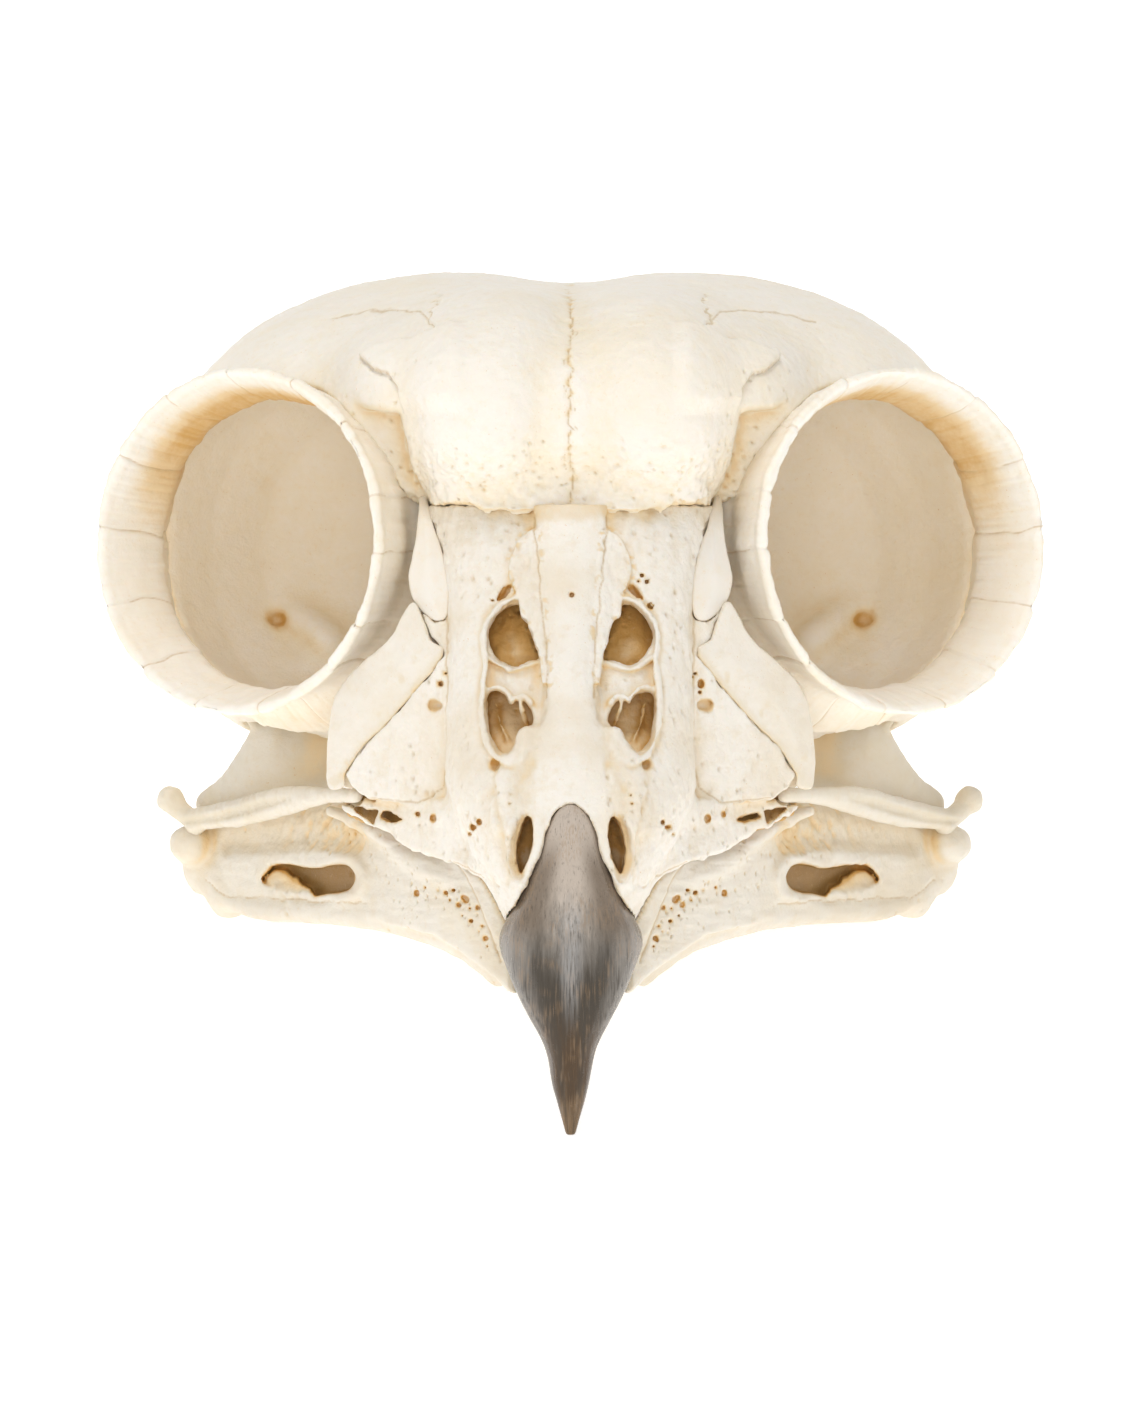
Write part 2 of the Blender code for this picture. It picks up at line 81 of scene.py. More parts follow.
# ---- the skull's driving sizes, in millimetres and degrees ----
MM = 0.001
REST_PITCH = 21.0                  # how far the face tips up when the skull lies at rest
REST_CENTRE_Y = 45.0               # middle of the resting skull's length
CROWN_Z = 69.7                     # top of the two swellings of the crown
NAPE_Y = 77.5                      # rearmost point of the braincase
HINGE_Z = 49.2                     # level at which the face bends against the forehead
JAW_BACK_Y = 20.0                  # where the face ends against the septum
JOINT_GAP = 0.3                    # clear space between two bones that meet
BONE_CLEARANCE = 0.6               # room round a bar that another bone makes way for
RING_CENTRE = (26.8, 17.5, 47.2)   # middle of the eye ring's outer rim
RING_SPREAD = 34.0                 # how far each eye looks to its side
RING_RISE = 1.9                    # and above the level
RING_WALL = 0.8                    # thickness of an eye ring's wall
# depth and inner radius down an eye ring
RING_BORE = ((0.0, 13.3), (1.2, 12.8), (3.5, 12.1), (5.9, 11.8), (8.0, 13.2), (10.5, 14.5))
ORBIT_CLEARANCE = 0.30             # room between an eye ring and the orbit's wall
HINGE_LIP = 0.82                   # how far the forehead's lower edge hides the top of the face
# a point and the normal of the plane on which the bill closes
BILL_PARTING = ((0.0, 3.25, 9.5), (0.0, 0.791, -0.612))


# ---- numbers ----
def spline(points: Sequence[Sequence[float]], steps: int) -> Array:
    """Points along a smooth curve through the given ones (Catmull-Rom).

    Args:
        points: knots of any dimension.
        steps: points made between two knots.

    Returns:
        An array with one row for each point of the curve.
    """
    knots = np.asarray(points, float)
    knots = np.vstack([2 * knots[0] - knots[1], knots, 2 * knots[-1] - knots[-2]])
    before, start, end, after = knots[:-3], knots[1:-2], knots[2:-1], knots[3:]
    t = (np.arange(steps) / steps)[:, None, None]
    track = 0.5 * (2 * start + (end - before) * t + (2 * before - 5 * start + 4 * end - after) * t ** 2
                   + (3 * start - before - 3 * end + after) * t ** 3)
    return np.vstack([track.transpose(1, 0, 2).reshape(-1, knots.shape[1]), knots[-2]])


def smooth_min(one: Array, other: Array, blend: float) -> Array:
    """The lower of two distances, with a fillet of about this radius.

    Args:
        one: the first of the two.
        other: the second of the two.
        blend: width over which they melt together.

    Returns:
        The joined distances.
    """
    if blend <= 0.0:
        return np.minimum(one, other)
    share = np.clip(0.5 + 0.5 * (other - one) / blend, 0.0, 1.0)
    return other * (1 - share) + one * share - blend * share * (1 - share)


def ease(low: float, high: float, value: Array) -> Array:
    """A smooth step from 0 at low to 1 at high, falling where high is the lower."""
    t = np.clip((value - low) / (high - low), 0.0, 1.0)
    return t * t * (3 - 2 * t)


def scatter(cell: Array, seed: int) -> Array:
    """A fixed random number from 0 to 1 for each lattice cell.

    Args:
        cell: integer cell places, one row of three for each.
        seed: picks one of many such sets.

    Returns:
        One number for each row.
    """
    mix = cell.astype(np.uint32)
    code = mix[..., 0] * np.uint32(374761393) + mix[..., 1] * np.uint32(668265263)
    code = code + mix[..., 2] * np.uint32(2246822519) + np.uint32(seed * 97 + 13)
    code = (code ^ (code >> np.uint32(13))) * np.uint32(1274126177)
    code = (code ^ (code >> np.uint32(16))) * np.uint32(2654435761)
    return (code >> np.uint32(8)).astype(np.float32) / np.float32(1 << 24)


def waves(at: Array, size: Sequence[float] | float, seed: int = 0, octaves: int = 1) -> Array:
    """Smooth noise from about -1 to 1.

    Args:
        at: points, one row of three for each.
        size: size of one wave, for each axis or for all of them.
        seed: picks the pattern.
        octaves: layers, each half as large and half as strong.

    Returns:
        One number for each point.
    """
    total = np.zeros(len(at), np.float32)
    for octave in range(octaves):
        place = at * (2.0 ** octave) / np.asarray(size, float)
        cell = np.floor(place).astype(np.int64)
        t = (place - cell).astype(np.float32)
        t = t * t * (3 - 2 * t)
        for corner in np.ndindex(2, 2, 2):
            weight = np.prod(np.where(corner, t, 1 - t), axis=1)
            total += weight * (2 * scatter(cell + corner, seed + octave) - 1) * 0.5 ** octave
    return total


def pores(at: Array, size: float, share: Array | float, seed: int = 0) -> Array:
    """How close each point is to the middle of a scattered pit.

    Args:
        at: points, one row of three for each.
        size: mean distance between two pits.
        share: share of the pits that are there, from 0 to 1, for each point or for all.
        seed: picks the pattern.

    Returns:
        1 in the middle of a pit, falling to 0 at its rim.
    """
    place = at / size
    cell = np.floor(place).astype(np.int64)
    nearest = np.zeros(len(at), np.float32)
    for step in np.ndindex(3, 3, 3):
        near = cell + step - 1
        spot = near + np.stack([scatter(near, seed + axis) for axis in range(3)], axis=1)
        radius = 0.16 + 0.3 * scatter(near, seed + 3)
        there = scatter(near, seed + 4) < share
        close = 1 - np.linalg.norm(place - spot, axis=1) / radius
        nearest = np.maximum(nearest, np.where(there, close, 0.0))
    return ease(0.0, 0.8, nearest)


def outline_distance(outline: Sequence[Spot], u: Array, v: Array, closed: bool = True) -> Array:
    """Distance to an outline in a plane.

    Args:
        outline: its corners.
        u: first coordinate of the points.
        v: second coordinate of the points.
        closed: whether the outline closes on itself, so that its inside counts as negative.

    Returns:
        The distances, negative inside a closed outline.
    """
    corners = [np.asarray(corner, np.float32) for corner in outline]
    nearest = np.full(np.broadcast(u, v).shape, 1e9, np.float32)
    inside = np.zeros(nearest.shape, bool)
    ends = corners[1:] + corners[:1] if closed else corners[1:]
    for start, end in zip(corners, ends):
        edge = end - start
        along = np.clip(((u - start[0]) * edge[0] + (v - start[1]) * edge[1]) / (edge @ edge + 1e-9), 0, 1)
        nearest = np.minimum(nearest, (u - start[0] - along * edge[0]) ** 2
                             + (v - start[1] - along * edge[1]) ** 2)
        if closed and edge[1]:
            crossing = (start[1] > v) != (end[1] > v)
            inside ^= crossing & (u < start[0] + edge[0] * (v - start[1]) / edge[1])
    distance = np.sqrt(nearest)
    return np.where(inside, -distance, distance)


def line_distance(line: Sequence[Spot], u: Array, v: Array) -> Array:
    """Distance to an open line in a plane."""
    return outline_distance(line, u, v, closed=False)


def rounded(outline: Sequence[Spot], steps: int = 4) -> list[Spot]:
    """A closed outline drawn as a smooth curve through its points.

    Args:
        outline: its corners.
        steps: pieces for each side.

    Returns:
        The finer outline.
    """
    closed = [*outline, *outline[:3]]
    track = spline(closed, steps)
    return [tuple(spot) for spot in track[steps:steps * (len(outline) + 1)]]


def eye_axis() -> Matrix:
    """Matrix whose Z runs down the left eye ring from its rim, X inwards to the bill and Y up.

    Returns:
        The matrix.
    """
    spread, rise = math.radians(RING_SPREAD), math.radians(RING_RISE)
    inwards = Vector((-math.sin(spread), math.cos(spread), -math.sin(rise))).normalized()
    across = Vector((0, 0, 1)).cross(inwards).normalized()
    upright = inwards.cross(across)
    turn = Matrix((across, upright, inwards)).transposed().to_4x4()
    return Matrix.Translation(RING_CENTRE) @ turn


# ---- shapes, each a signed distance over a grid given by its three axes ----
@dataclass(frozen=True)
class Lump:
    """A superellipsoid, rounder or squarer as its power says."""

    centre: Point
    radii: Point
    power: float = 2.2
    turn: Matrix | None = None

    def reach(self) -> tuple[Array, Array]:
        """Lowest and highest corner of the shape."""
        span = np.full(3, np.linalg.norm(self.radii)) if self.turn else np.array(self.radii)
        return np.array(self.centre) - span, np.array(self.centre) + span

    def distance(self, xs: Array, ys: Array, zs: Array) -> Array:
        """Signed distances over the grid of the three axes.

        Args:
            xs: the grid's places across.
            ys: its places in depth.
            zs: its places in height.

        Returns:
            Distances, in millimetres, below 0 inside.
        """
        parts = [xs[:, None, None] - self.centre[0], ys[None, :, None] - self.centre[1],
                 zs[None, None, :] - self.centre[2]]
        if self.turn:
            parts = [sum(self.turn[row][column] * parts[row] for row in range(3)) for column in range(3)]
        scaled = [np.abs(part / np.float32(radius)) for part, radius in zip(parts, self.radii)]
        if self.power == 2.0:
            level = np.sqrt(sum(part ** 2 for part in scaled))
            slope = np.sqrt(sum((part / radius) ** 2 for part, radius in zip(scaled, self.radii)))
            slope /= np.maximum(level, 1e-4)
        else:
            lower = [part ** (self.power - 1) for part in scaled]
            level = sum(low * part for low, part in zip(lower, scaled)) ** (1 / self.power)
            slope = np.sqrt(sum((low / radius) ** 2 for low, radius in zip(lower, self.radii)))
            slope *= np.maximum(level, 1e-4) ** (1 - self.power)
        return np.maximum((level - 1) / np.maximum(slope, 1e-4), -min(self.radii)).astype(np.float32)


@dataclass(frozen=True)
class Bar:
    """A bar along a smooth path. Each size is (half thickness, half height)."""

    points: Sequence[Point]
    sizes: Sequence[Spot]
    rise: Point = (0.0, 0.0, 1.0)
    steps: int = 4

    def reach(self) -> tuple[Array, Array]:
        """Lowest and highest corner of the shape."""
        track, span = spline(self.points, self.steps), np.max(self.sizes)
        return track.min(axis=0) - span, track.max(axis=0) + span

    def distance(self, xs: Array, ys: Array, zs: Array) -> Array:
        """Signed distances over the grid of the three axes, link by link.

        Args:
            xs: the grid's places across.
            ys: its places in depth.
            zs: its places in height.

        Returns:
            Distances, in millimetres, below 0 inside.
        """
        track, sizes = spline(self.points, self.steps), spline(self.sizes, self.steps)
        nearest = np.full((len(xs), len(ys), len(zs)), Clay.FAR, np.float32)
        margin = sizes.max() + Clay.FAR / 2
        for place, (start, end) in enumerate(zip(track, track[1:])):
            low, high = np.minimum(start, end) - margin, np.maximum(start, end) + margin
            room = tuple(slice(*np.searchsorted(axis, (a, b)))
                         for axis, a, b in zip((xs, ys, zs), low, high))
            if any(part.start >= part.stop for part in room):
                continue
            edge = end - start
            ahead = edge / np.linalg.norm(edge)
            side = np.cross(ahead, self.rise)
            side /= np.linalg.norm(side)
            upright = np.cross(side, ahead)
            x, y, z = (xs[room[0]][:, None, None] - start[0], ys[room[1]][None, :, None] - start[1],
                       zs[room[2]][None, None, :] - start[2])
            along = x * ahead[0] + y * ahead[1] + z * ahead[2]
            share = np.clip(along / np.linalg.norm(edge), 0, 1)
            past = along - share * np.linalg.norm(edge)
            half = [sizes[place][k] + (sizes[place + 1][k] - sizes[place][k]) * share for k in (0, 1)]
            offsets = (x * side[0] + y * side[1] + z * side[2],
                       x * upright[0] + y * upright[1] + z * upright[2],
                       past)
            radii = (half[0], half[1], np.minimum(*half))
            level = np.sqrt(sum((part / radius) ** 2 for part, radius in zip(offsets, radii)))
            slope = np.sqrt(sum((part / radius ** 2) ** 2 for part, radius in zip(offsets, radii)))
            near = (level - 1) * np.maximum(level, 1e-3) / np.maximum(slope, 1e-3)
            near = np.where(level < 0.05, -radii[2], near)
            nearest[room] = np.minimum(nearest[room], near)
        return nearest


@dataclass(frozen=True)
class Stack:
    """A form from level sections, each (z, half width, front y, rear y)."""

    stations: Sequence[tuple[float, float, float, float]]
    power: float = 2.4
    grow: float = 0.0

    def reach(self) -> tuple[Array, Array]:
        """Lowest and highest corner of the shape.

        Returns:
            Both corners.
        """
        z, half, front, rear = np.array(self.stations).T
        return (np.array([-half.max(), front.min(), z.min()]) - self.grow,
                np.array([half.max(), rear.max(), z.max()]) + self.grow)

    def distance(self, xs: Array, ys: Array, zs: Array) -> Array:
        """Signed distances over the grid of the three axes.

        Args:
            xs: the grid's places across.
            ys: its places in depth.
            zs: its places in height.

        Returns:
            Distances, in millimetres, below 0 inside.
        """
        track = spline(self.stations, 6)
        half, front, rear = (np.interp(zs, track[:, 0], track[:, column])[None, None, :]
                             for column in (1, 2, 3))
        wide = np.maximum(half + self.grow, 0.05)
        deep = np.maximum((rear - front) / 2 + self.grow, 0.05)
        u = np.abs(xs[:, None, None] / wide)
        v = np.abs((ys[None, :, None] - (front + rear) / 2) / deep)
        level = (u ** self.power + v ** self.power) ** (1 / self.power)
        slope = np.sqrt((u ** (self.power - 1) / wide) ** 2 + (v ** (self.power - 1) / deep) ** 2)
        slope = slope * np.maximum(level, 1e-4) ** (1 - self.power)
        across = np.maximum((level - 1) / np.maximum(slope, 1e-4), -np.minimum(wide, deep))
        ends = np.maximum(track[0, 0] - zs, zs - track[-1, 0])[None, None, :] - self.grow
        return np.maximum(across, ends).astype(np.float32)


@dataclass(frozen=True)
class Plate:
    """A plate from its front outline (x, z), set back by a depth function, with rounded edges."""

    outline: Sequence[Spot]
    front: Callable[[Array, Array], Array]
    thick: float
    edge: float = 0.3
    slope: float = 0.0

    def reach(self) -> tuple[Array, Array]:
        """Lowest and highest corner of the shape.

        Returns:
            Both corners.
        """
        x, z = np.array(self.outline).T
        depth = self.front(x, z)
        return (np.array([x.min(), depth.min() - 0.5, z.min()]),
                np.array([x.max(), depth.max() + self.thick + 0.5, z.max()]))

    def distance(self, xs: Array, ys: Array, zs: Array) -> Array:
        """Signed distances over the grid of the three axes.

        Args:
            xs: the grid's places across.
            ys: its places in depth.
            zs: its places in height.

        Returns:
            Distances, in millimetres, below 0 inside.
        """
        x, z = xs[:, None], zs[None, :]
        across = (outline_distance(self.outline, x, z) + self.edge)[:, None, :]
        depth = np.broadcast_to(self.front(x, z), across[:, 0, :].shape)[:, None, :]
        through = np.abs(ys[None, :, None] - depth - self.thick / 2) - self.thick / 2
        through = through / math.hypot(1.0, self.slope) + self.edge
        inside = np.minimum(np.maximum(across, through), 0)
        outside = np.sqrt(np.maximum(across, 0) ** 2 + np.maximum(through, 0) ** 2)
        return (inside + outside - self.edge).astype(np.float32)


@dataclass(frozen=True)
class Turned:
    """A turned form about the left eye's axis, from (depth, radius) points."""

    profile: Sequence[Spot]

    def reach(self) -> tuple[Array, Array]:
        """Lowest and highest corner of the shape.

        Returns:
            Both corners.
        """
        axis = eye_axis()
        ends = [np.array(axis @ Vector((0, 0, depth))) for depth, radius in self.profile]
        span = max(radius for depth, radius in self.profile)
        return np.min(ends, axis=0) - span, np.max(ends, axis=0) + span

    def beside(self, at: Array) -> Array:
        """Distance from the turned wall of each point, taken over to the left side.

        Args:
            at: the points to look at.

        Returns:
            Distances, in millimetres.
        """
        axis = eye_axis()
        arm = np.abs(at) * (1, 0, 0) + at * (0, 1, 1) - np.array(axis.translation)
        depth = arm @ np.array(axis.col[2][:3])
        radius = np.sqrt(np.maximum((arm ** 2).sum(axis=1) - depth ** 2, 0))
        depths, radii = np.array(self.profile).T
        return radius - np.interp(depth, depths, radii)

    def distance(self, xs: Array, ys: Array, zs: Array) -> Array:
        """Signed distances over the grid of the three axes.

        Args:
            xs: the grid's places across.
            ys: its places in depth.
            zs: its places in height.

        Returns:
            Distances, in millimetres, below 0 inside.
        """
        axis = eye_axis()
        origin, down = np.array(axis.translation), np.array(axis.col[2][:3])
        x, y, z = xs[:, None, None] - origin[0], ys[None, :, None] - origin[1], zs[None, None, :] - origin[2]
        depth = x * down[0] + y * down[1] + z * down[2]
        radius = np.sqrt(np.maximum(x * x + y * y + z * z - depth * depth, 0))
        depths, radii = np.array(self.profile).T
        fine = np.linspace(depths[0], depths[-1], 200)
        wall = np.interp(fine, depths, radii)
        steep = np.hypot(1.0, np.gradient(wall, fine))
        across = (radius - np.interp(depth, fine, wall)) / np.interp(depth, fine, steep)
        return np.maximum(across, np.maximum(depths[0] - depth, depth - depths[-1])).astype(np.float32)


@dataclass(frozen=True)
class Half:
    """All that lies behind a plane, on the side away from its normal."""

    point: Point
    normal: Point

    def reach(self) -> tuple[Array, Array]:
        """The whole block."""
        return np.full(3, -1e6), np.full(3, 1e6)

    def distance(self, xs: Array, ys: Array, zs: Array) -> Array:
        """Signed distances over the grid of the three axes.

        Args:
            xs: the grid's places across.
            ys: its places in depth.
            zs: its places in height.

        Returns:
            Distances, in millimetres, below 0 inside.
        """
        nx, ny, nz = np.array(self.normal) / np.linalg.norm(self.normal)
        return ((xs[:, None, None] - self.point[0]) * nx + (ys[None, :, None] - self.point[1]) * ny
                + (zs[None, None, :] - self.point[2]) * nz).astype(np.float32)


def floor_plane() -> Half:
    """The floor on which the skull lies, in the skull's own frame."""
    rest = math.radians(REST_PITCH)
    return Half((0.0, 0.0, 0.0), (0.0, -math.sin(rest), math.cos(rest)))


@dataclass(frozen=True)
class Block:
    """A box between two corners."""

    low: Point
    high: Point

    def reach(self) -> tuple[Array, Array]:
        """Lowest and highest corner of the shape."""
        return np.array(self.low), np.array(self.high)

    def distance(self, xs: Array, ys: Array, zs: Array) -> Array:
        """Signed distances over the grid of the three axes.

        Args:
            xs: the grid's places across.
            ys: its places in depth.
            zs: its places in height.

        Returns:
            Distances, in millimetres, below 0 inside.
        """
        x, y, z = (np.maximum(low - axis, axis - high) for axis, low, high in
                   zip((xs, ys, zs), self.low, self.high))
        return np.maximum(np.maximum(x[:, None, None], y[None, :, None]), z[None, None, :]).astype(np.float32)


@dataclass(frozen=True)
class Mirrored:
    """The mirror image of a shape in the skull's middle plane."""

    shape: Lump | Bar | Plate | Turned

    def reach(self) -> tuple[Array, Array]:
        """Lowest and highest corner of the shape."""
        low, high = self.shape.reach()
        return np.array([-high[0], low[1], low[2]]), np.array([-low[0], high[1], high[2]])

    def distance(self, xs: Array, ys: Array, zs: Array) -> Array:
        """Signed distances over the grid of the three axes."""
        return self.shape.distance(-xs[::-1], ys, zs)[::-1]


@dataclass(frozen=True)
class Carved:
    """A shape with others taken out of it."""

    shape: Plate
    tools: Sequence[Stack]

    def reach(self) -> tuple[Array, Array]:
        """Lowest and highest corner of the shape."""
        return self.shape.reach()

    def distance(self, xs: Array, ys: Array, zs: Array) -> Array:
        """Signed distances over the grid of the three axes.

        Args:
            xs: the grid's places across.
            ys: its places in depth.
            zs: its places in height.

        Returns:
            Distances, in millimetres, below 0 inside.
        """
        left = self.shape.distance(xs, ys, zs)
        for tool in self.tools:
            left = np.maximum(left, -tool.distance(xs, ys, zs))
        return left


Shape = Lump | Bar | Stack | Plate | Turned | Half | Block | Mirrored | Carved


class Clay:
    """A block of signed distances that bone is shaped in, and then skinned."""

    FAR = 4.0

    def __init__(self, low: Point, high: Point, step: float) -> None:
        """Make an empty block.

        Args:
            low: its lowest corner. A block that starts at x = 0 is mirrored when it is unfolded.
            high: its highest corner.
            step: the size of its cells.
        """
        self.step = step
        self.axes = [(np.arange(math.floor(a / step), math.ceil(b / step) + 1) * step).astype(np.float32)
                     for a, b in zip(low, high)]
        self.field = np.full([len(axis) for axis in self.axes], self.FAR, np.float32)

    def room(self, shape: Shape, margin: float) -> tuple[tuple[slice, ...], list[Array]] | None:
        """The part of the block near a shape, as slices and as axes, or nothing.

        Args:
            shape: the form.
            margin: space left around it.

        Returns:
            The slices of the block that it reaches, and their places along each axis.
        """
        low, high = shape.reach()
        cut = tuple(slice(*np.searchsorted(axis, (a - margin, b + margin)))
                    for axis, a, b in zip(self.axes, low, high))
        if any(part.start >= part.stop for part in cut):
            return None
        return cut, [axis[part] for axis, part in zip(self.axes, cut)]

    def add(self, shape: Shape, blend: float = 0.8, twin: bool = False) -> None:
        """Join a shape to the clay.

        Args:
            shape: what is joined.
            blend: radius of the fillet between the two.
            twin: whether its mirror image is joined too.
        """
        for part in [shape, Mirrored(shape)] if twin else [shape]:
            near = self.room(part, blend + 1.5)
            if near:
                cut, axes = near
                self.field[cut] = smooth_min(self.field[cut], part.distance(*axes), blend)

    def cut(self, shape: Shape, blend: float = 0.3) -> None:
        """Carve a shape out of the clay.

        Args:
            shape: what is taken away.
            blend: radius of the rounded edge that it leaves.
        """
        near = self.room(shape, blend + 1.5)
        if near:
            cut, axes = near
            self.field[cut] = -smooth_min(-self.field[cut], shape.distance(*axes), blend)

    def emboss(self, low: Point, high: Point, height: Callable[[Array, Array, Array], Array]) -> None:
        """Raise or sink the skin within a box.

        Args:
            low: the box's lowest corner.
            high: the box's highest corner.
            height: gives the rise in millimetres from open x, y and z grids.
        """
        near = self.room(Block(low, high), 0.0)
        if near:
            cut, (xs, ys, zs) = near
            self.field[cut] -= height(xs[:, None, None], ys[None, :, None], zs[None, None, :])

    def front_depth(self, x: float, z: float, start: float) -> float:
        """Depth y at which a straight look from start first meets the clay at (x, z).

        Args:
            x: places across.
            z: places in height.
            start: depth at which the look starts.

        Returns:
            Depth of the first bone there.
        """
        column = self.field[np.searchsorted(self.axes[0], x), :, np.searchsorted(self.axes[2], z)]
        behind = (self.axes[1] >= start) & (column < 0)
        return float(self.axes[1][np.argmax(behind)])

    def unfold(self) -> None:
        """Mirror a half block into a whole one, after which the two sides can differ."""
        self.field = np.concatenate([self.field[:0:-1], self.field])
        self.axes[0] = np.concatenate([-self.axes[0][:0:-1], self.axes[0]])

    def sample(self, at: Array) -> Array:
        """The clay's signed distance at each point, by straight interpolation.

        Args:
            at: the points to look at.

        Returns:
            Distances at the points.
        """
        place = [(at[:, axis] - self.axes[axis][0]) / self.step for axis in range(3)]
        cell = [np.clip(part.astype(int), 0, count - 2) for part, count in zip(place, self.field.shape)]
        t = [np.clip(part - whole, 0, 1) for part, whole in zip(place, cell)]
        total = np.zeros(len(at))
        for corner in np.ndindex(2, 2, 2):
            weight = np.ones(len(at))
            for axis, side in enumerate(corner):
                weight *= t[axis] if side else 1 - t[axis]
            total += weight * self.field[tuple(whole + side for whole, side in zip(cell, corner))]
        return total

    def slope(self, at: Array) -> Array:
        """The unit direction in which the distance grows fastest, at each point.

        Args:
            at: the points to look at.

        Returns:
            Directions away from the bone.
        """
        lean = np.empty((len(at), 3))
        for axis in range(3):
            shift = np.zeros(3)
            shift[axis] = self.step
            lean[:, axis] = self.sample(at + shift) - self.sample(at - shift)
        return lean / np.maximum(np.linalg.norm(lean, axis=1, keepdims=True), 1e-9)

    def settle(self, at: Array) -> Array:
        """How far each point of an eased skin lies off the clay's true surface, by half a cell at most."""
        return 0.8 * self.slope(at) * np.clip(self.sample(at), -0.5 * self.step, 0.5 * self.step)[:, None]

    def skin(self) -> tuple[Array, Array]:
        """Skin the clay with quads by surface nets.

        Returns:
            Points in millimetres and the four point numbers of each quad.
        """
        self.field = np.pad(self.field, 1, constant_values=self.FAR)
        self.axes = [np.concatenate([[axis[0] - self.step], axis, [axis[-1] + self.step]])
                     for axis in self.axes]
        inside = self.field < 0
        count = sum(inside[i:i - 1 or None, j:j - 1 or None, k:k - 1 or None].astype(np.uint8)
                    for i, j, k in np.ndindex(2, 2, 2))
        mixed = (count > 0) & (count < 8)
        cells = np.argwhere(mixed)
        label = np.full(mixed.shape, -1, np.int32)
        label[mixed] = np.arange(len(cells))
        corners = {corner: self.field[tuple((cells + corner).T)] for corner in np.ndindex(2, 2, 2)}
        middle, crossings = np.zeros((len(cells), 3)), np.zeros((len(cells), 1))
        for axis in range(3):
            for corner in (c for c in corners if c[axis] == 0):
                far = tuple(1 if k == axis else side for k, side in enumerate(corner))
                start, end = corners[corner], corners[far]
                crosses = (start < 0) != (end < 0)
                spot = np.tile(np.array(corner, float), (len(cells), 1))
                spot[:, axis] = np.where(crosses, start / np.where(crosses, start - end, 1), 0)
                middle += spot * crosses[:, None]
                crossings += crosses[:, None]
        points = (cells + middle / crossings) * self.step + [axis[0] for axis in self.axes]
        quads = []
        for axis in range(3):
            second, third = (axis + 1) % 3, (axis + 2) % 3
            ahead = np.roll(inside, -1, axis=axis)
            edges = np.argwhere(inside != ahead)
            ring = []
            for back_second, back_third in ((1, 1), (0, 1), (0, 0), (1, 0)):
                cell = edges.copy()
                cell[:, second] -= back_second
                cell[:, third] -= back_third
                ring.append(label[tuple(cell.T)])
            quad = np.stack(ring, axis=1)
            outwards = inside[tuple(edges.T)]
            quads.append(np.where(outwards[:, None], quad, quad[:, ::-1]))
        return points, np.concatenate(quads)


# ---- meshes ----
def build_mesh(name: str, points: Array, faces: Array) -> bpy.types.Mesh:
    """A mesh from arrays of points and quads.

    Args:
        name: its name.
        points: the skin's points.
        faces: the corners of each face.

    Returns:
        The new mesh.
    """
    mesh = bpy.data.meshes.new(name)
    mesh.vertices.add(len(points))
    mesh.vertices.foreach_set("co", np.ascontiguousarray(points, np.float32).ravel())
    mesh.loops.add(faces.size)
    mesh.loops.foreach_set("vertex_index", np.ascontiguousarray(faces, np.int32).ravel())
    mesh.polygons.add(len(faces))
    mesh.polygons.foreach_set("loop_start", np.arange(0, faces.size, faces.shape[1], dtype=np.int32))
    mesh.update(calc_edges=True)
    mesh.validate()
    return mesh


def read_points(mesh: bpy.types.Mesh) -> Array:
    """The mesh's points as rows.

    Args:
        mesh: the mesh.

    Returns:
        Their places.
    """
    flat = np.empty(len(mesh.vertices) * 3, np.float32)
    mesh.vertices.foreach_get("co", flat)
    return flat.reshape(-1, 3).astype(float)


def read_normals(mesh: bpy.types.Mesh) -> Array:
    """The mesh's point normals as rows.

    Args:
        mesh: the mesh.

    Returns:
        Their normals.
    """
    flat = np.empty(len(mesh.vertices) * 3, np.float32)
    mesh.vertex_normals.foreach_get("vector", flat)
    return flat.reshape(-1, 3).astype(float)


def relax(mesh: bpy.types.Mesh, rounds: int) -> None:
    """Ease each point towards the mean of its neighbours.

    Args:
        mesh: the mesh.
        rounds: how often it is done.
    """
    ends = np.empty(len(mesh.edges) * 2, np.int32)
    mesh.edges.foreach_get("vertices", ends)
    first, second = ends.reshape(-1, 2).T
    points = read_points(mesh)
    count = np.bincount(ends, minlength=len(points))[:, None]
    for _ in range(rounds):
        total = np.stack([np.bincount(first, points[second, axis], len(points))
                          + np.bincount(second, points[first, axis], len(points)) for axis in range(3)],
                          axis=1)
        points = 0.5 * points + 0.5 * total / np.maximum(count, 1)
    mesh.vertices.foreach_set("co", points.astype(np.float32).ravel())
    mesh.update()


def divide(mesh: bpy.types.Mesh, wanted: Callable[[Array], Array]) -> None:
    """Split each quad into four where its points are wanted.

    Args:
        mesh: the mesh.
        wanted: says for each point whether the skin is finer there.
    """
    chosen = wanted(read_points(mesh))
    bm = bmesh.new()
    bm.from_mesh(mesh)
    bm.verts.ensure_lookup_table()
    edges = [edge for edge in bm.edges if chosen[edge.verts[0].index] and chosen[edge.verts[1].index]]
    bmesh.ops.subdivide_edges(bm, edges=edges, cuts=1, use_grid_fill=True)
    bm.to_mesh(mesh)
    bm.free()


def lay_down(points: Array) -> Array:
    """Points of the skull's own frame, in millimetres, to the resting frame, in metres.

    Args:
        points: the skin's points.

    Returns:
        The points as the skull lies, in metres.
    """
    pitch = math.radians(REST_PITCH)
    x, y, z = points.T
    return np.stack([x, y * math.cos(pitch) + z * math.sin(pitch) - REST_CENTRE_Y,
                     z * math.cos(pitch) - y * math.sin(pitch)], axis=1) * MM


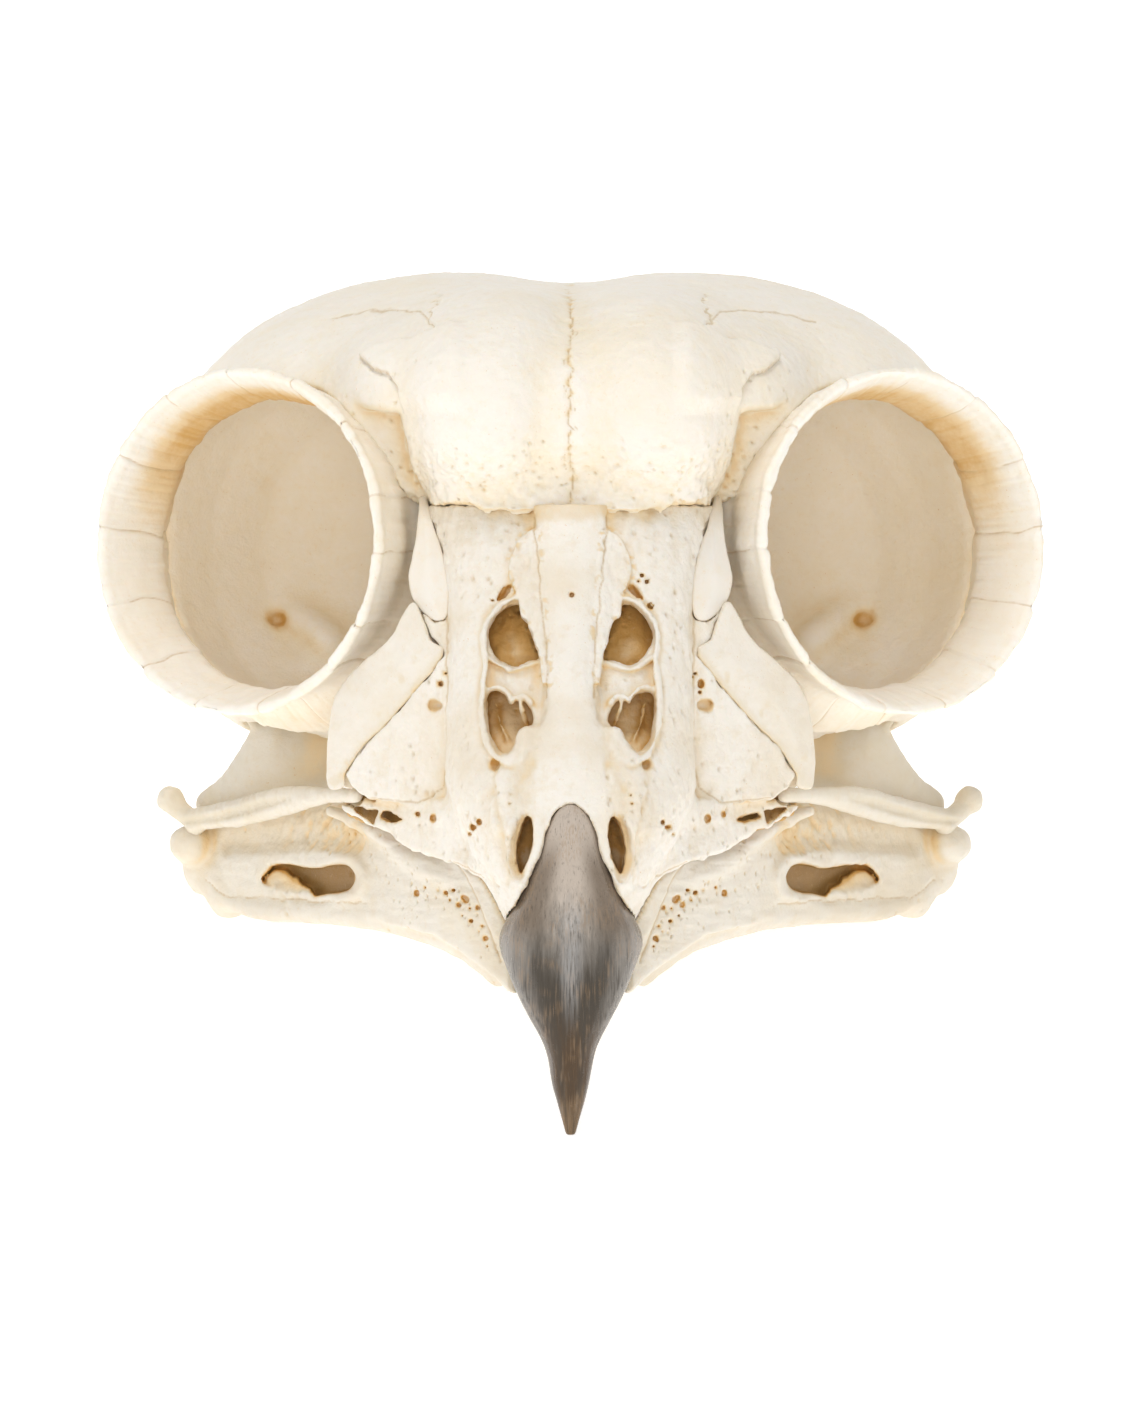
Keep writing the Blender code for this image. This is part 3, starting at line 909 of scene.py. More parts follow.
@dataclass
class Relief:
    """Fine relief and tint of a bone's skin, one number for each point. The tint holds real stains and
    painted shade together.
    """

    rise: Array
    seam: Array
    porous: Array
    # darkening that the finish adds: real stains along sutures and pits, and painted shade in hollows,
    # openings and under overhangs
    stain_and_shade: Array

    @classmethod
    def flat(cls, count: int) -> Relief:
        """A smooth clean skin with no seam near."""
        return cls(np.zeros(count), np.full(count, 3.0), np.zeros(count), np.zeros(count))

    def groove(self, distance: Array, width: float, depth: float, where: Array | float = 1.0) -> None:
        """Sink a fine line and remember how near it is.

        Args:
            distance: distance of each point to the line.
            width: half width of the groove.
            depth: its depth.
            where: 1 where the line shows, 0 where it doesn't.
        """
        self.rise -= depth * np.exp(-(distance / width) ** 2) * where
        self.seam = np.minimum(self.seam, distance + 3.0 * (1 - np.asarray(where)))


def hollow_share(clay: Clay, points: Array, normals: Array) -> Array:
    """How enclosed each point is, from 0 in the open to 1 deep in a hollow; the finish paints it as shade.

    Args:
        clay: the block to shape.
        points: the skin's points.
        normals: their normals.

    Returns:
        How deep in a hollow each point lies.
    """
    total = np.zeros(len(points))
    reaches = (0.4, 0.9, 1.8, 3.4)
    for reach in reaches:
        total += np.clip(1 - clay.sample(points + normals * reach) / reach, 0, 1)
    return total / len(reaches)


@dataclass
class Piece:
    """One dressed bone: its mesh, its finish and what it stands for."""

    name: str
    nodes: Sequence[str]
    slot: str
    finish: bpy.types.Material

    def publish(self, mesh: bpy.types.Mesh, tints: dict[str, Array]) -> bpy.types.Object:
        """Lay the mesh down, dress it and hand it to the frame.

        Args:
            mesh: the bone in the skull's own frame.
            tints: numbers for each point that the finish reads.

        Returns:
            The finished object.
        """
        mesh.vertices.foreach_set("co", lay_down(read_points(mesh)).astype(np.float32).ravel())
        for name, values in tints.items():
            mesh.attributes.new(name, "FLOAT", "POINT").data.foreach_set("value", values.astype(np.float32))
        mesh.update()
        mesh.shade_smooth()
        mesh.materials.append(self.finish)
        piece = bpy.data.objects.new(self.name, mesh)
        bpy.context.scene.collection.objects.link(piece)
        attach(piece, "root")
        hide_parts(*self.nodes)
        LOG.info("%s: %d points, %d faces", self.name, len(mesh.vertices), len(mesh.polygons))
        return piece

    def from_clay(self, clay: Clay, relief: Callable[[Array, Array], Relief], rounds: int = 2,
                  fine: Callable[[Array], Array] | None = None) -> bpy.types.Object:
        """Skin the clay, give it its relief and publish it.

        Args:
            clay: the shaped block.
            relief: gives the relief from points and normals.
            rounds: how often the skin is eased.
            fine: says which points get a finer skin.

        Returns:
            The finished object.
        """
        mesh = build_mesh(self.name, *clay.skin())
        relax(mesh, rounds)
        if fine:
            divide(mesh, fine)
        points = read_points(mesh)
        points -= clay.settle(points)
        mesh.vertices.foreach_set("co", points.astype(np.float32).ravel())
        mesh.update()
        normals = read_normals(mesh)
        skin = relief(points, normals)
        # Painted shade: the skin is darker in its own fine dimples and the more it is enclosed, and both go
        # into the hollow tint.
        dimple_shade = 0.9 * np.clip(-0.01 - skin.rise, 0, 0.25)
        hollow = np.clip(hollow_share(clay, points, normals) + dimple_shade + skin.stain_and_shade, 0, 1.8)
        points += normals * skin.rise[:, None]
        mesh.vertices.foreach_set("co", points.astype(np.float32).ravel())
        return self.publish(mesh, {"hollow": hollow, "seam": skin.seam, "porous": skin.porous})


# ---- finishes ----
Socket = bpy.types.NodeSocket


class Wiring:
    """A material's node tree, with short ways to wire it."""

    def __init__(self, name: str) -> None:
        """Start a material with its shader.

        Args:
            name: the material's name.
        """
        self.material = bpy.data.materials.new(name)
        self.material.use_nodes = True
        self.tree = self.material.node_tree
        self.shader = self.tree.nodes["Principled BSDF"]

    def feed(self, target: Socket, source: Socket | float | Sequence[float]) -> None:
        """Link a socket to its source, or set it to a value.

        Args:
            target: the socket that takes it.
            source: a socket or a plain value.
        """
        if isinstance(source, bpy.types.NodeSocket):
            self.tree.links.new(source, target)
        else:
            target.default_value = source

    def math(self, operation: str, *parts: Socket | float) -> Socket:
        """The result of a math node.

        Args:
            operation: the node's operation.
            parts: sockets or plain values, in order.

        Returns:
            The socket of the result.
        """
        node = self.tree.nodes.new("ShaderNodeMath")
        node.operation = operation
        for target, part in zip(node.inputs, parts):
            self.feed(target, part)
        return node.outputs[0]

    def mix(self, share: Socket | float, one: Socket | Sequence[float],
            other: Socket | Sequence[float]) -> Socket:
        """A colour between two others.

        Args:
            share: how much of the second shows.
            one: the first of the two.
            other: the second of the two.

        Returns:
            The socket of the result.
        """
        node = self.tree.nodes.new("ShaderNodeMix")
        node.data_type = "RGBA"
        self.feed(node.inputs["Factor"], share)
        for target, part in zip((node.inputs[6], node.inputs[7]), (one, other)):
            self.feed(target, part if isinstance(part, bpy.types.NodeSocket) else (*part, 1.0))
        return node.outputs[2]

    def step(self, value: Socket, low: float, high: float, top: float = 1.0) -> Socket:
        """A smooth step of a value, from 0 to top.

        Args:
            value: the socket that is compared.
            low: where the step starts.
            high: where it ends.
            top: the value that it reaches.

        Returns:
            The socket of the result.
        """
        node = self.tree.nodes.new("ShaderNodeMapRange")
        node.interpolation_type = "SMOOTHSTEP"
        for target, part in zip(node.inputs, (value, low, high, 0.0, top)):
            self.feed(target, part)
        return node.outputs[0]

    def millimetres(self, stretch: Point = (1.0, 1.0, 1.0)) -> Socket:
        """The object's own coordinates in millimetres, each axis stretched.

        Args:
            stretch: scale along each axis.

        Returns:
            The socket of the places.
        """
        place = self.tree.nodes.new("ShaderNodeTexCoord")
        node = self.tree.nodes.new("ShaderNodeMapping")
        node.inputs["Scale"].default_value = [part / MM for part in stretch]
        self.feed(node.inputs["Vector"], place.outputs["Object"])
        return node.outputs[0]

    def noise(self, at: Socket, scale: float, detail: float = 3.0, rough: float = 0.55) -> Socket:
        """Noise with this many waves for each unit.

        Args:
            at: the points to look at.
            scale: size of the pattern.
            detail: how many finer layers it has.
            rough: how strong those are.

        Returns:
            The socket of the pattern.
        """
        node = self.tree.nodes.new("ShaderNodeTexNoise")
        node.inputs["Scale"].default_value = scale
        node.inputs["Detail"].default_value = detail
        node.inputs["Roughness"].default_value = rough
        self.feed(node.inputs["Vector"], at)
        return node.outputs["Fac"]

    def pits(self, at: Socket, scale: float) -> Socket:
        """Distance to the nearest of scattered points, in cells.

        Args:
            at: the points to look at.
            scale: size of the pattern.

        Returns:
            The socket of the pattern.
        """
        node = self.tree.nodes.new("ShaderNodeTexVoronoi")
        node.inputs["Scale"].default_value = scale
        self.feed(node.inputs["Vector"], at)
        return node.outputs["Distance"]

    def attribute(self, name: str) -> Socket:
        """A number that the mesh carries for each point.

        Args:
            name: its name.

        Returns:
            The socket of the value.
        """
        node = self.tree.nodes.new("ShaderNodeAttribute")
        node.attribute_name = name
        return node.outputs["Fac"]

    def bump(self, height: Socket, depth: float, strength: float = 1.0) -> None:
        """Let a height from 0 to 1 raise the skin by up to this depth in millimetres.

        Args:
            height: the pattern that stands up.
            depth: how far it stands up, in millimetres.
            strength: share of the effect.
        """
        node = self.tree.nodes.new("ShaderNodeBump")
        node.inputs["Strength"].default_value = strength
        node.inputs["Distance"].default_value = depth * MM
        self.feed(node.inputs["Height"], height)
        self.feed(self.shader.inputs["Normal"], node.outputs[0])


@dataclass(frozen=True)
class BoneFinish:
    """Dry cleaned bone: ivory and mottled, with tan seams and pores, and painted shade from tan to umber in
    its hollows.
    """

    name: str
    light: Point = (0.90, 0.838, 0.745)
    warm: Point = (0.865, 0.76, 0.60)
    tan: Point = (0.84, 0.64, 0.37)
    deep: Point = (0.68, 0.385, 0.10)
    umber: Point = (0.34, 0.19, 0.05)
    seam: Point = (0.60, 0.43, 0.22)
    mottle: float = 0.55
    roughness: float = 0.46
    grain_depth: float = 0.10

    def material(self) -> bpy.types.Material:
        """The finish as a material.

        Returns:
            The material.
        """
        wiring = Wiring(self.name)
        at = wiring.millimetres()
        blotch = wiring.step(wiring.noise(at, 0.12, 4.0), 0.40, 0.74, self.mottle)
        fleck = wiring.step(wiring.noise(at, 0.8, 5.0, 0.65), 0.48, 0.76, 0.6)
        colour = wiring.mix(blotch, self.light, self.warm)
        colour = wiring.mix(fleck, colour, self.warm)

        grain = wiring.noise(at, 2.3, 6.0, 0.68)
        ragged = wiring.noise(at, 0.6, 4.0, 0.6)
        loose = wiring.math("ADD", wiring.math("MULTIPLY", ragged, 0.22),
                            wiring.math("MULTIPLY", grain, 0.22))
        # Painted shade: the hollow tint, broken by noise, turns the colour warm, tan, deep and umber in
        # enclosed places.
        hollow = wiring.math("ADD", wiring.attribute("hollow"), wiring.math("SUBTRACT", loose, 0.22))
        hollow = wiring.math("ADD", hollow, wiring.math("MULTIPLY", wiring.attribute("porous"), 0.10))
        colour = wiring.mix(wiring.step(hollow, 0.02, 0.34), colour, self.warm)
        colour = wiring.mix(wiring.step(hollow, 0.24, 0.66, 0.95), colour, self.tan)
        colour = wiring.mix(wiring.step(hollow, 0.62, 1.05, 0.95), colour, self.deep)
        colour = wiring.mix(wiring.step(hollow, 1.15, 1.75, 0.95), colour, self.umber)
        dust = wiring.step(grain, 0.58, 0.78, 0.42)
        colour = wiring.mix(dust, colour, self.tan)
        speck = wiring.math("MULTIPLY", wiring.step(wiring.noise(at, 5.0, 2.0, 0.5), 0.68, 0.78, 0.6),
                            wiring.step(ragged, 0.46, 0.62))
        colour = wiring.mix(speck, colour, self.deep)

        broken = wiring.noise(at, 1.6, 3.0, 0.6)
        nearness = wiring.math("ADD", wiring.attribute("seam"), wiring.math("MULTIPLY", broken, 0.10))
        line = wiring.math("SUBTRACT", 1.0, wiring.step(nearness, 0.03, 0.20))
        colour = wiring.mix(wiring.math("MULTIPLY", line, 0.70), colour, self.seam)

        wiring.feed(wiring.shader.inputs["Base Color"], colour)
        polish = wiring.math("MULTIPLY_ADD", wiring.noise(at, 0.9, 3.0), 0.20, self.roughness - 0.10)
        wiring.feed(wiring.shader.inputs["Roughness"], polish)
        wiring.bump(wiring.math("MULTIPLY_ADD", grain, 0.8, wiring.math("MULTIPLY", ragged, 0.6)),
                    self.grain_depth)
        wiring.shader.inputs["Subsurface Weight"].default_value = 0.08
        wiring.shader.inputs["Subsurface Radius"].default_value = (1.0, 0.62, 0.35)
        wiring.shader.inputs["Subsurface Scale"].default_value = 0.9 * MM
        return wiring.material


@dataclass(frozen=True)
class HornFinish:
    """Semi-gloss horn, streaked along the bill: pale at the root, dark in the middle, brown at the tip, with
    a painted highlight down the ridge.
    """

    name: str
    pale: Point = (0.53, 0.45, 0.375)
    grey: Point = (0.25, 0.222, 0.19)
    dark: Point = (0.046, 0.034, 0.021)
    flank: Point = (0.17, 0.125, 0.085)
    fringe: Point = (0.30, 0.27, 0.235)
    # colour of the painted highlight down the ridge
    painted_highlight: Point = (0.44, 0.43, 0.42)
    amber: Point = (0.36, 0.215, 0.10)
    brown: Point = (0.066, 0.034, 0.010)
    tip: Point = (0.17, 0.105, 0.05)
    roughness: float = 0.25

    def material(self) -> bpy.types.Material:
        """The finish as a material.

        Returns:
            The material.
        """
        wiring = Wiring(self.name)
        at = wiring.millimetres()
        streak = wiring.noise(wiring.millimetres((2.4, 1.2, 0.16)), 1.0, 5.0, 0.62)
        thread = wiring.noise(wiring.millimetres((7.0, 3.0, 0.3)), 1.0, 4.0, 0.6)
        height = wiring.attribute("height")
        aside = wiring.attribute("aside")
        wavy = wiring.math("MULTIPLY_ADD", wiring.math("SUBTRACT", streak, 0.5), 8.0, height)

        colour = wiring.mix(wiring.step(wavy, 0.6, 4.2), self.tip, self.brown)
        colour = wiring.mix(wiring.step(wavy, 6.0, 11.0), colour, self.dark)
        colour = wiring.mix(wiring.step(wavy, 11.5, 17.0), colour, self.grey)
        colour = wiring.mix(wiring.step(wavy, 15.5, 20.5), colour, self.pale)
        upper = wiring.math("MULTIPLY", wiring.step(aside, 0.15, 0.60), wiring.step(height, 14.5, 17.0))
        upper = wiring.math("MULTIPLY", upper, wiring.step(height, 24.5, 20.5))
        colour = wiring.mix(wiring.math("MULTIPLY", upper, 0.85), colour, self.flank)
        lower = wiring.math("MULTIPLY", wiring.step(aside, 0.45, 0.90), wiring.step(height, 17.5, 14.5))
        fibres = wiring.math("MULTIPLY", wiring.step(height, 5.0, 11.0), wiring.step(thread, 0.30, 0.55))
        lower = wiring.math("MULTIPLY", lower, fibres)
        colour = wiring.mix(wiring.math("MULTIPLY", lower, 0.5), colour, self.fringe)
        # A painted highlight, streaky, down the middle of the ridge.
        ridge = wiring.math("MULTIPLY", wiring.step(aside, 0.26, 0.02), wiring.step(height, 20.0, 16.5))
        fibres = wiring.math("MULTIPLY", wiring.step(height, 7.5, 12.5), wiring.step(thread, 0.25, 0.65))
        ridge = wiring.math("MULTIPLY", ridge, fibres)
        colour = wiring.mix(wiring.math("MULTIPLY", ridge, 0.6), colour, self.painted_highlight)
        beside = wiring.math("ABSOLUTE", wiring.math("SUBTRACT", aside, 0.48))
        keel = wiring.math("MULTIPLY", wiring.step(beside, 0.24, 0.04), wiring.step(height, 17.5, 14.0))
        colour = wiring.mix(wiring.math("MULTIPLY", keel, 0.5), colour, self.dark)
        warmth = wiring.math("MULTIPLY", wiring.step(wiring.noise(at, 0.35, 2.0), 0.46, 0.62),
                             wiring.step(thread, 0.46, 0.62))
        colour = wiring.mix(wiring.math("MULTIPLY", warmth, 0.30), colour, self.amber)
        colour = wiring.mix(wiring.step(thread, 0.54, 0.76, 0.30), colour, self.grey)
        colour = wiring.mix(wiring.step(thread, 0.46, 0.26, 0.50), colour, self.dark)

        wiring.feed(wiring.shader.inputs["Base Color"], colour)
        polish = wiring.math("MULTIPLY_ADD", wiring.noise(at, 1.2, 3.0), 0.2, self.roughness - 0.1)
        wiring.feed(wiring.shader.inputs["Roughness"], polish)
        wiring.bump(wiring.math("MULTIPLY_ADD", thread, 0.5, wiring.math("MULTIPLY", streak, 0.5)), 0.05)
        wiring.shader.inputs["Specular IOR Level"].default_value = 0.36
        return wiring.material


@dataclass(frozen=True)
class FloorFinish:
    """Plain pale matt floor."""

    name: str = "pale_floor"
    colour: Point = (0.93, 0.93, 0.93)
    glow: float = 0.58

    def material(self) -> bpy.types.Material:
        """The finish as a material, faintly lit from below as a light table is.

        Returns:
            The material.
        """
        wiring = Wiring(self.name)
        wiring.shader.inputs["Emission Color"].default_value = (1.0, 1.0, 1.0, 1.0)
        wiring.shader.inputs["Emission Strength"].default_value = self.glow
        wiring.shader.inputs["Base Color"].default_value = (*self.colour, 1.0)
        wiring.shader.inputs["Roughness"].default_value = 0.9
        wiring.shader.inputs["Specular IOR Level"].default_value = 0.1
        return wiring.material


class Slot(Enum):
    """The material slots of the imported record."""

    CRANIUM = "cranium_bone"
    FACE = "face_bone"
    JAW = "jaw_bone"
    RING = "ring_bone"
    HORN = "bill_horn"


# ---- the bones ----
ORBIT_PROFILE = (
    (-16.0, RING_BORE[0][1] + RING_WALL + ORBIT_CLEARANCE + 1.6),
    *((depth, radius + RING_WALL + ORBIT_CLEARANCE) for depth, radius in RING_BORE),
    (11.3, 16.0), (12.6, 15.2), (16.0, 14.2), (20.0, 11.8), (23.0, 7.4), (24.3, 3.6),
)
QUADRATE_SHAFT = Bar(((21.5, 41.5, 36.0), (23.2, 40.8, 31.0), (26.0, 42.0, 27.6), (29.4, 44.0, 25.6)),
                     ((3.2, 3.0), (3.3, 2.8), (2.6, 3.0), (1.3, 1.3)), rise=(0.0, 1.0, 0.0))


def grown(bar: Bar, room: float) -> Bar:
    """The same bar with this much room on every side."""
    return Bar(bar.points, [(wide + room, high + room) for wide, high in bar.sizes], bar.rise, bar.steps)


@dataclass
class Cranium:
    """Braincase, brows, forehead pillows, orbits and nape."""

    step: float = 0.36
    pillow: Lump = Lump((6.45, 18.0, 57.6), (6.95, 13.2, 8.0), 2.4)
    bridge: Lump = Lump((0.0, 18.6, 57.4), (5.0, 12.7, 6.6), 2.6)
    slope: Lump = Lump((5.6, 22.0, 59.6), (7.8, 14.2, 8.2), 2.3)
    brow_lip: Sequence[Spot] = ((32.0, 40.0), (32.0, 61.0), (22.0, 59.9), (18.4, 58.6), (16.2, 57.75),
                                (13.6, 57.5), (13.2, 55.7), (12.75, 53.3), (12.1, 51.6), (11.6, 50.6),
                                (11.45, 49.4), (11.45, 40.0))
    underside: Sequence[Spot] = ((-1.5, 48.5), (11.1, 48.5), (11.2, 50.4), (10.6, 53.0), (-1.5, 53.0))
    corner: Sequence[Spot] = ((14.0, 40.0), (14.0, 52.6), (12.6, 52.6), (12.4, 52.0), (12.0, 51.3),
                              (11.2, 50.65), (10.0, 50.15), (8.0, 49.8), (6.6, 49.5), (6.6, 40.0))
    grains: Sequence[Spot] = ((-6.6, 0.34), (-4.4, 0.42), (-3.5, 0.30), (-1.9, 0.38), (-0.9, 0.26),
                              (1.3, 0.36), (2.5, 0.44), (3.4, 0.30), (5.1, 0.38), (7.2, 0.32))
    tongue: Sequence[Spot] = ((13.4, 57.4), (13.6, 59.2), (14.5, 60.5), (15.6, 60.8), (16.84, 61.9),
                              (16.36, 62.5), (14.5, 63.2), (12.5, 63.3), (10.8, 64.1))
    frontal_line: Sequence[Spot] = ((10.8, 64.1), (11.45, 65.0), (11.2, 66.0), (10.7, 67.5))
    brow_line: Sequence[Spot] = ((11.45, 65.0), (12.1, 65.8), (14.2, 66.1), (16.6, 66.0), (20.0, 65.2))
    foramen: Spot = (24.2, 41.1)
    ear: Point = (30.0, 53.0, 38.5)
    finish: BoneFinish = BoneFinish("cranium_bone", light=(0.935, 0.875, 0.78), warm=(0.915, 0.81, 0.63))

    def braincase(self, clay: Clay) -> None:
        """Join the swellings of the skull's rear, with soft valleys between them.

        Args:
            clay: the block to shape.
        """
        soft, softer = 3.0, 5.0
        clay.add(Lump((0.0, 37.0, 50.0), (12.0, 26.0, 18.5)), soft)
        clay.add(Lump((0.0, 49.5, 48.0), (26.5, NAPE_Y - 49.5, 20.6)), soft)
        clay.add(Lump((10.5, 40.0, 50.0), (21.0, 23.0, CROWN_Z - 50.2)), 1.2, twin=True)
        clay.add(Lump((8.5, 34.0, 56.0), (14.0, 15.0, 12.9)), 2.0, twin=True)
        clay.add(Lump((20.0, 33.5, 53.0), (11.2, 14.0, 11.4)), softer)
        clay.add(Lump((8.0, 26.0, 57.2), (13.0, 16.0, 9.4)), 2.5, twin=True)
        clay.add(Lump((24.3, 42.0, 46.5), (9.8, 11.0, 14.2)), softer)
        clay.add(Lump((15.0, 51.5, 44.0), (15.4, 17.3, 15.0)), softer, twin=True)
        clay.add(Lump((12.3, 63.0, 35.5), (8.4, 9.4, 10.8)), softer, twin=True)
        clay.add(Lump((0.0, 30.0, 47.0), (5.2, 16.0, 15.0), 3.0), 1.5)
        clay.add(Lump((0.0, 56.5, 36.5), (17.0, 19.0, 9.4)), softer)
        clay.add(Lump((0.0, 73.5, 34.0), (2.8, 4.0, 2.8), 2.0), 1.2)
        clay.add(Bar(((0, JAW_BACK_Y, 32.5), (0, 34.0, 32.0), (0, 48.0, 32.0)),
                     ((1.8, 2.0), (2.2, 2.4), (3.5, 3.0))), 1.5)

    def forehead(self, clay: Clay) -> None:
        """Join the two pillows over the face, with a shallow valley between them.

        Args:
            clay: the block to shape.
        """
        clay.add(self.slope, 2.0, twin=True)
        clay.add(self.bridge, 2.5)
        clay.add(Plate(self.underside, lambda x, z: face_front(x, np.minimum(z, 50.0)) - 0.7, 6.0, 0.5), 1.0)
        clay.add(self.pillow, 1.5, twin=True)

    def openings(self, clay: Clay) -> None:
        """Carve the orbits, the temples, the nape's opening, the ears and room for other bones.

        Args:
            clay: the block to shape.
        """
        clay.cut(Turned(ORBIT_PROFILE), 0.5)
        clay.cut(Block((-30.0, -6.0, -20.0), (30.0, JAW_BACK_Y + JOINT_GAP, HINGE_Z + JOINT_GAP)), 0.25)
        clay.cut(Plate([(-2.0, 40.0), (11.7, 40.0), (11.7, HINGE_Z + HINGE_LIP), (-2.0, HINGE_Z + HINGE_LIP)],
                       lambda x, z: face_front(x, np.minimum(z, 50.0)) - 0.15, 6.0, 0.02), 0.05)
        clay.cut(Plate(self.corner, lambda x, z: face_front(x, np.minimum(z, 50.0)) - 12.1, 12.0, 0.1), 0.4)
        clay.cut(grown(PALATINE, BONE_CLEARANCE), 0.3)
        clay.cut(self.temple(), 0.8)
        clay.cut(Plate(self.brow_lip, lambda x, z: np.full(np.broadcast(x, z).shape, -6.0), 20.5, 0.1), 0.5)
        clay.cut(Lump((0.0, 77.5, 38.5), (4.2, 7.0, 4.0), 2.0), 0.8)
        clay.cut(Lump(self.ear, (5.5, 4.2, 7.0), 2.0), 0.8)
        clay.cut(grown(QUADRATE_SHAFT, BONE_CLEARANCE), 0.3)
        clay.cut(Lump((27.6, 44.4, 25.9), (3.8, 3.0, 2.1)), 0.3)
        clay.cut(Lump((20.6, 41.6, 29.8), (2.8, 2.6, 2.6)), 0.3)

    def temple(self) -> Lump:
        """What the open outer margin of the orbit takes from the side.

        Returns:
            The lump.
        """
        axis = eye_axis()
        inwards = Vector(axis.col[2][:3])
        outside = inwards.cross(Vector((0, 0, 1))).normalized()
        upright = outside.cross(inwards).normalized()
        frame = Matrix((inwards, upright, outside)).transposed()
        centre = Vector(RING_CENTRE) + frame @ Vector((0.0, -3.5, 20.0))
        return Lump(tuple(centre), (10.4, 15.5, 18.0), 3.2, frame)

    def crumbs(self, clay: Clay) -> None:
        """Add the ragged grains of bone that hang from the pillows over the face.

        Args:
            clay: the block to shape.
        """
        for x, size in self.grains:
            place = (x, float(face_front(x, 50.0)) - 0.35, 49.6 - 0.2 * size)
            clay.add(Lump(place, (1.5 * size, 0.8 * size, size), 2.0), 0.35)

    def orbit_detail(self, clay: Clay) -> None:
        """Sink the dark foramen of each orbit's back wall, under the fold that leads to it.

        Args:
            clay: the block to shape.
        """
        x, z = self.foramen
        depth = clay.front_depth(x, z, 24.0)
        low_depth = clay.front_depth(20.6, 37.4, 24.0)
        fold = [(across, clay.front_depth(across, high, 24.0) + sunk, high) for across, high, sunk in
                ((x - 0.7, z + 0.9, 0.6), (x - 2.3, z - 0.1, -0.2), (x - 4.2, z - 1.7, -0.5))]
        crease = [(across, depth_at + 0.5, high - 1.7) for across, depth_at, high in fold]
        clay.add(Bar(fold, ((0.6, 0.6), (1.1, 1.1), (1.4, 1.4))), 1.2)
        clay.add(Lump((20.4, low_depth + 2.2, 36.4), (3.8, 2.6, 2.6), 2.0), 1.6)
        clay.cut(Bar(crease, ((0.4, 0.4), (0.5, 0.5), (0.45, 0.45))), 0.7)
        clay.cut(Lump((x, depth + 0.1, z - 0.1), (0.65, 0.5, 0.42), 2.0), 0.9)
        spot = clay.front_depth(25.0, 52.4, 24.0)
        clay.cut(Lump((25.0, spot, 52.4), (0.2, 0.6, 0.18), 2.0), 0.2)

    def rear_detail(self, clay: Clay) -> None:
        """Raise the crests of the nape and temples, and the rims of ear and nape opening.

        Args:
            clay: the block to shape.
        """
        crest = ((0.0, 74.6, 49.5), (9.0, 72.6, 48.0), (18.0, 66.0, 44.0), (25.0, 58.0, 40.0))
        clay.add(Bar(crest, ((0.9, 0.9), (1.0, 0.8), (1.0, 0.9), (0.9, 0.9)), steps=3), 2.6, twin=True)
        clay.add(Bar(((28.2, 49.0, 46.0), (29.2, 54.0, 45.4), (27.4, 58.5, 41.0), (25.6, 59.0, 35.5)),
                     ((0.8, 0.8),) * 4, steps=3), 1.6)
        for x, y, z in ((3.1, 75.4, 33.4), (4.4, 72.6, 31.0)):
            clay.cut(Lump((x, y, z), (0.45, 1.6, 0.45), 2.0), 0.3)

    def relief(self, points: Array, normals: Array) -> Relief:
        """Sutures, pores and slow ripples of the skin, with painted shade under the forehead's lip and in the
        orbits.

        Args:
            points: the skin's points.
            normals: their normals.

        Returns:
            The relief.
        """
        x, y, z = points.T
        side = np.abs(x)
        skin = Relief.flat(len(points))
        front = ease(0.15, -0.25, normals[:, 1]) + ease(0.2, 0.5, normals[:, 2])
        front = np.clip(front, 0, 1) * ease(49.0, 50.0, z)

        skin.rise += 0.07 * waves(points, 5.0, 1, 2) + 0.018 * waves(points, 1.3, 5, 2)
        skin.rise += 0.035 * waves(points, (5.0, 1.6, 0.9), 9, 2) * ease(60.0, 65.0, z) * front

        zigzag = 0.26 * waves(points, (9.0, 1.0, 0.7), 21) + 0.20 * waves(points, (9.0, 0.4, 0.28), 23)
        stitched = front * ease(44.0, 34.0, y)
        broken = ease(-0.95, -0.5, waves(points, (9.0, 0.8, 0.6), 27))
        skin.groove(np.abs(x + zigzag * 0.8), 0.14, 0.17, stitched * broken)
        bumpy = ease(-0.1, 0.5, waves(points, (9.0, 0.5, 0.4), 29))
        beads = bumpy * np.exp(-((x + zigzag * 0.8) / 0.22) ** 2)
        skin.stain_and_shade += 0.42 * beads * stitched
        for offset, seed in ((0.42, 31), (-0.40, 33)):
            loops = ease(0.15, 0.55, waves(points, (9.0, 0.9, 0.8), seed))
            skin.groove(np.abs(x + offset + zigzag * 0.5), 0.11, 0.11, stitched * loops)
        skin.rise -= 0.16 * np.exp(-(x / 0.7) ** 2) * stitched * ease(62.0, 50.0, z)

        wobble = 0.14 * waves(points, 0.9, 41, 2)
        outer = front * ease(40.0, 36.0, y) * ease(8.0, 9.5, side)
        inside = outline_distance([*self.tongue, (6.0, 65.4), (6.0, 55.0), (13.2, 55.0)], side + wobble,
                                  z + wobble)
        skin.rise += 0.60 * ease(0.12, -0.14, inside) * outer * ease(57.0, 58.8, z)
        tongue = line_distance(self.tongue, side + wobble, z + wobble)
        skin.groove(tongue, 0.18, 0.22, outer * ease(57.6, 59.0, z))
        upper = front * ease(36.0, 30.0, y)
        skin.groove(line_distance(self.frontal_line, side + wobble * 2.6, z + wobble), 0.19, 0.19, upper)
        skin.groove(line_distance(self.brow_line, side + wobble, z + wobble), 0.16, 0.11, upper)

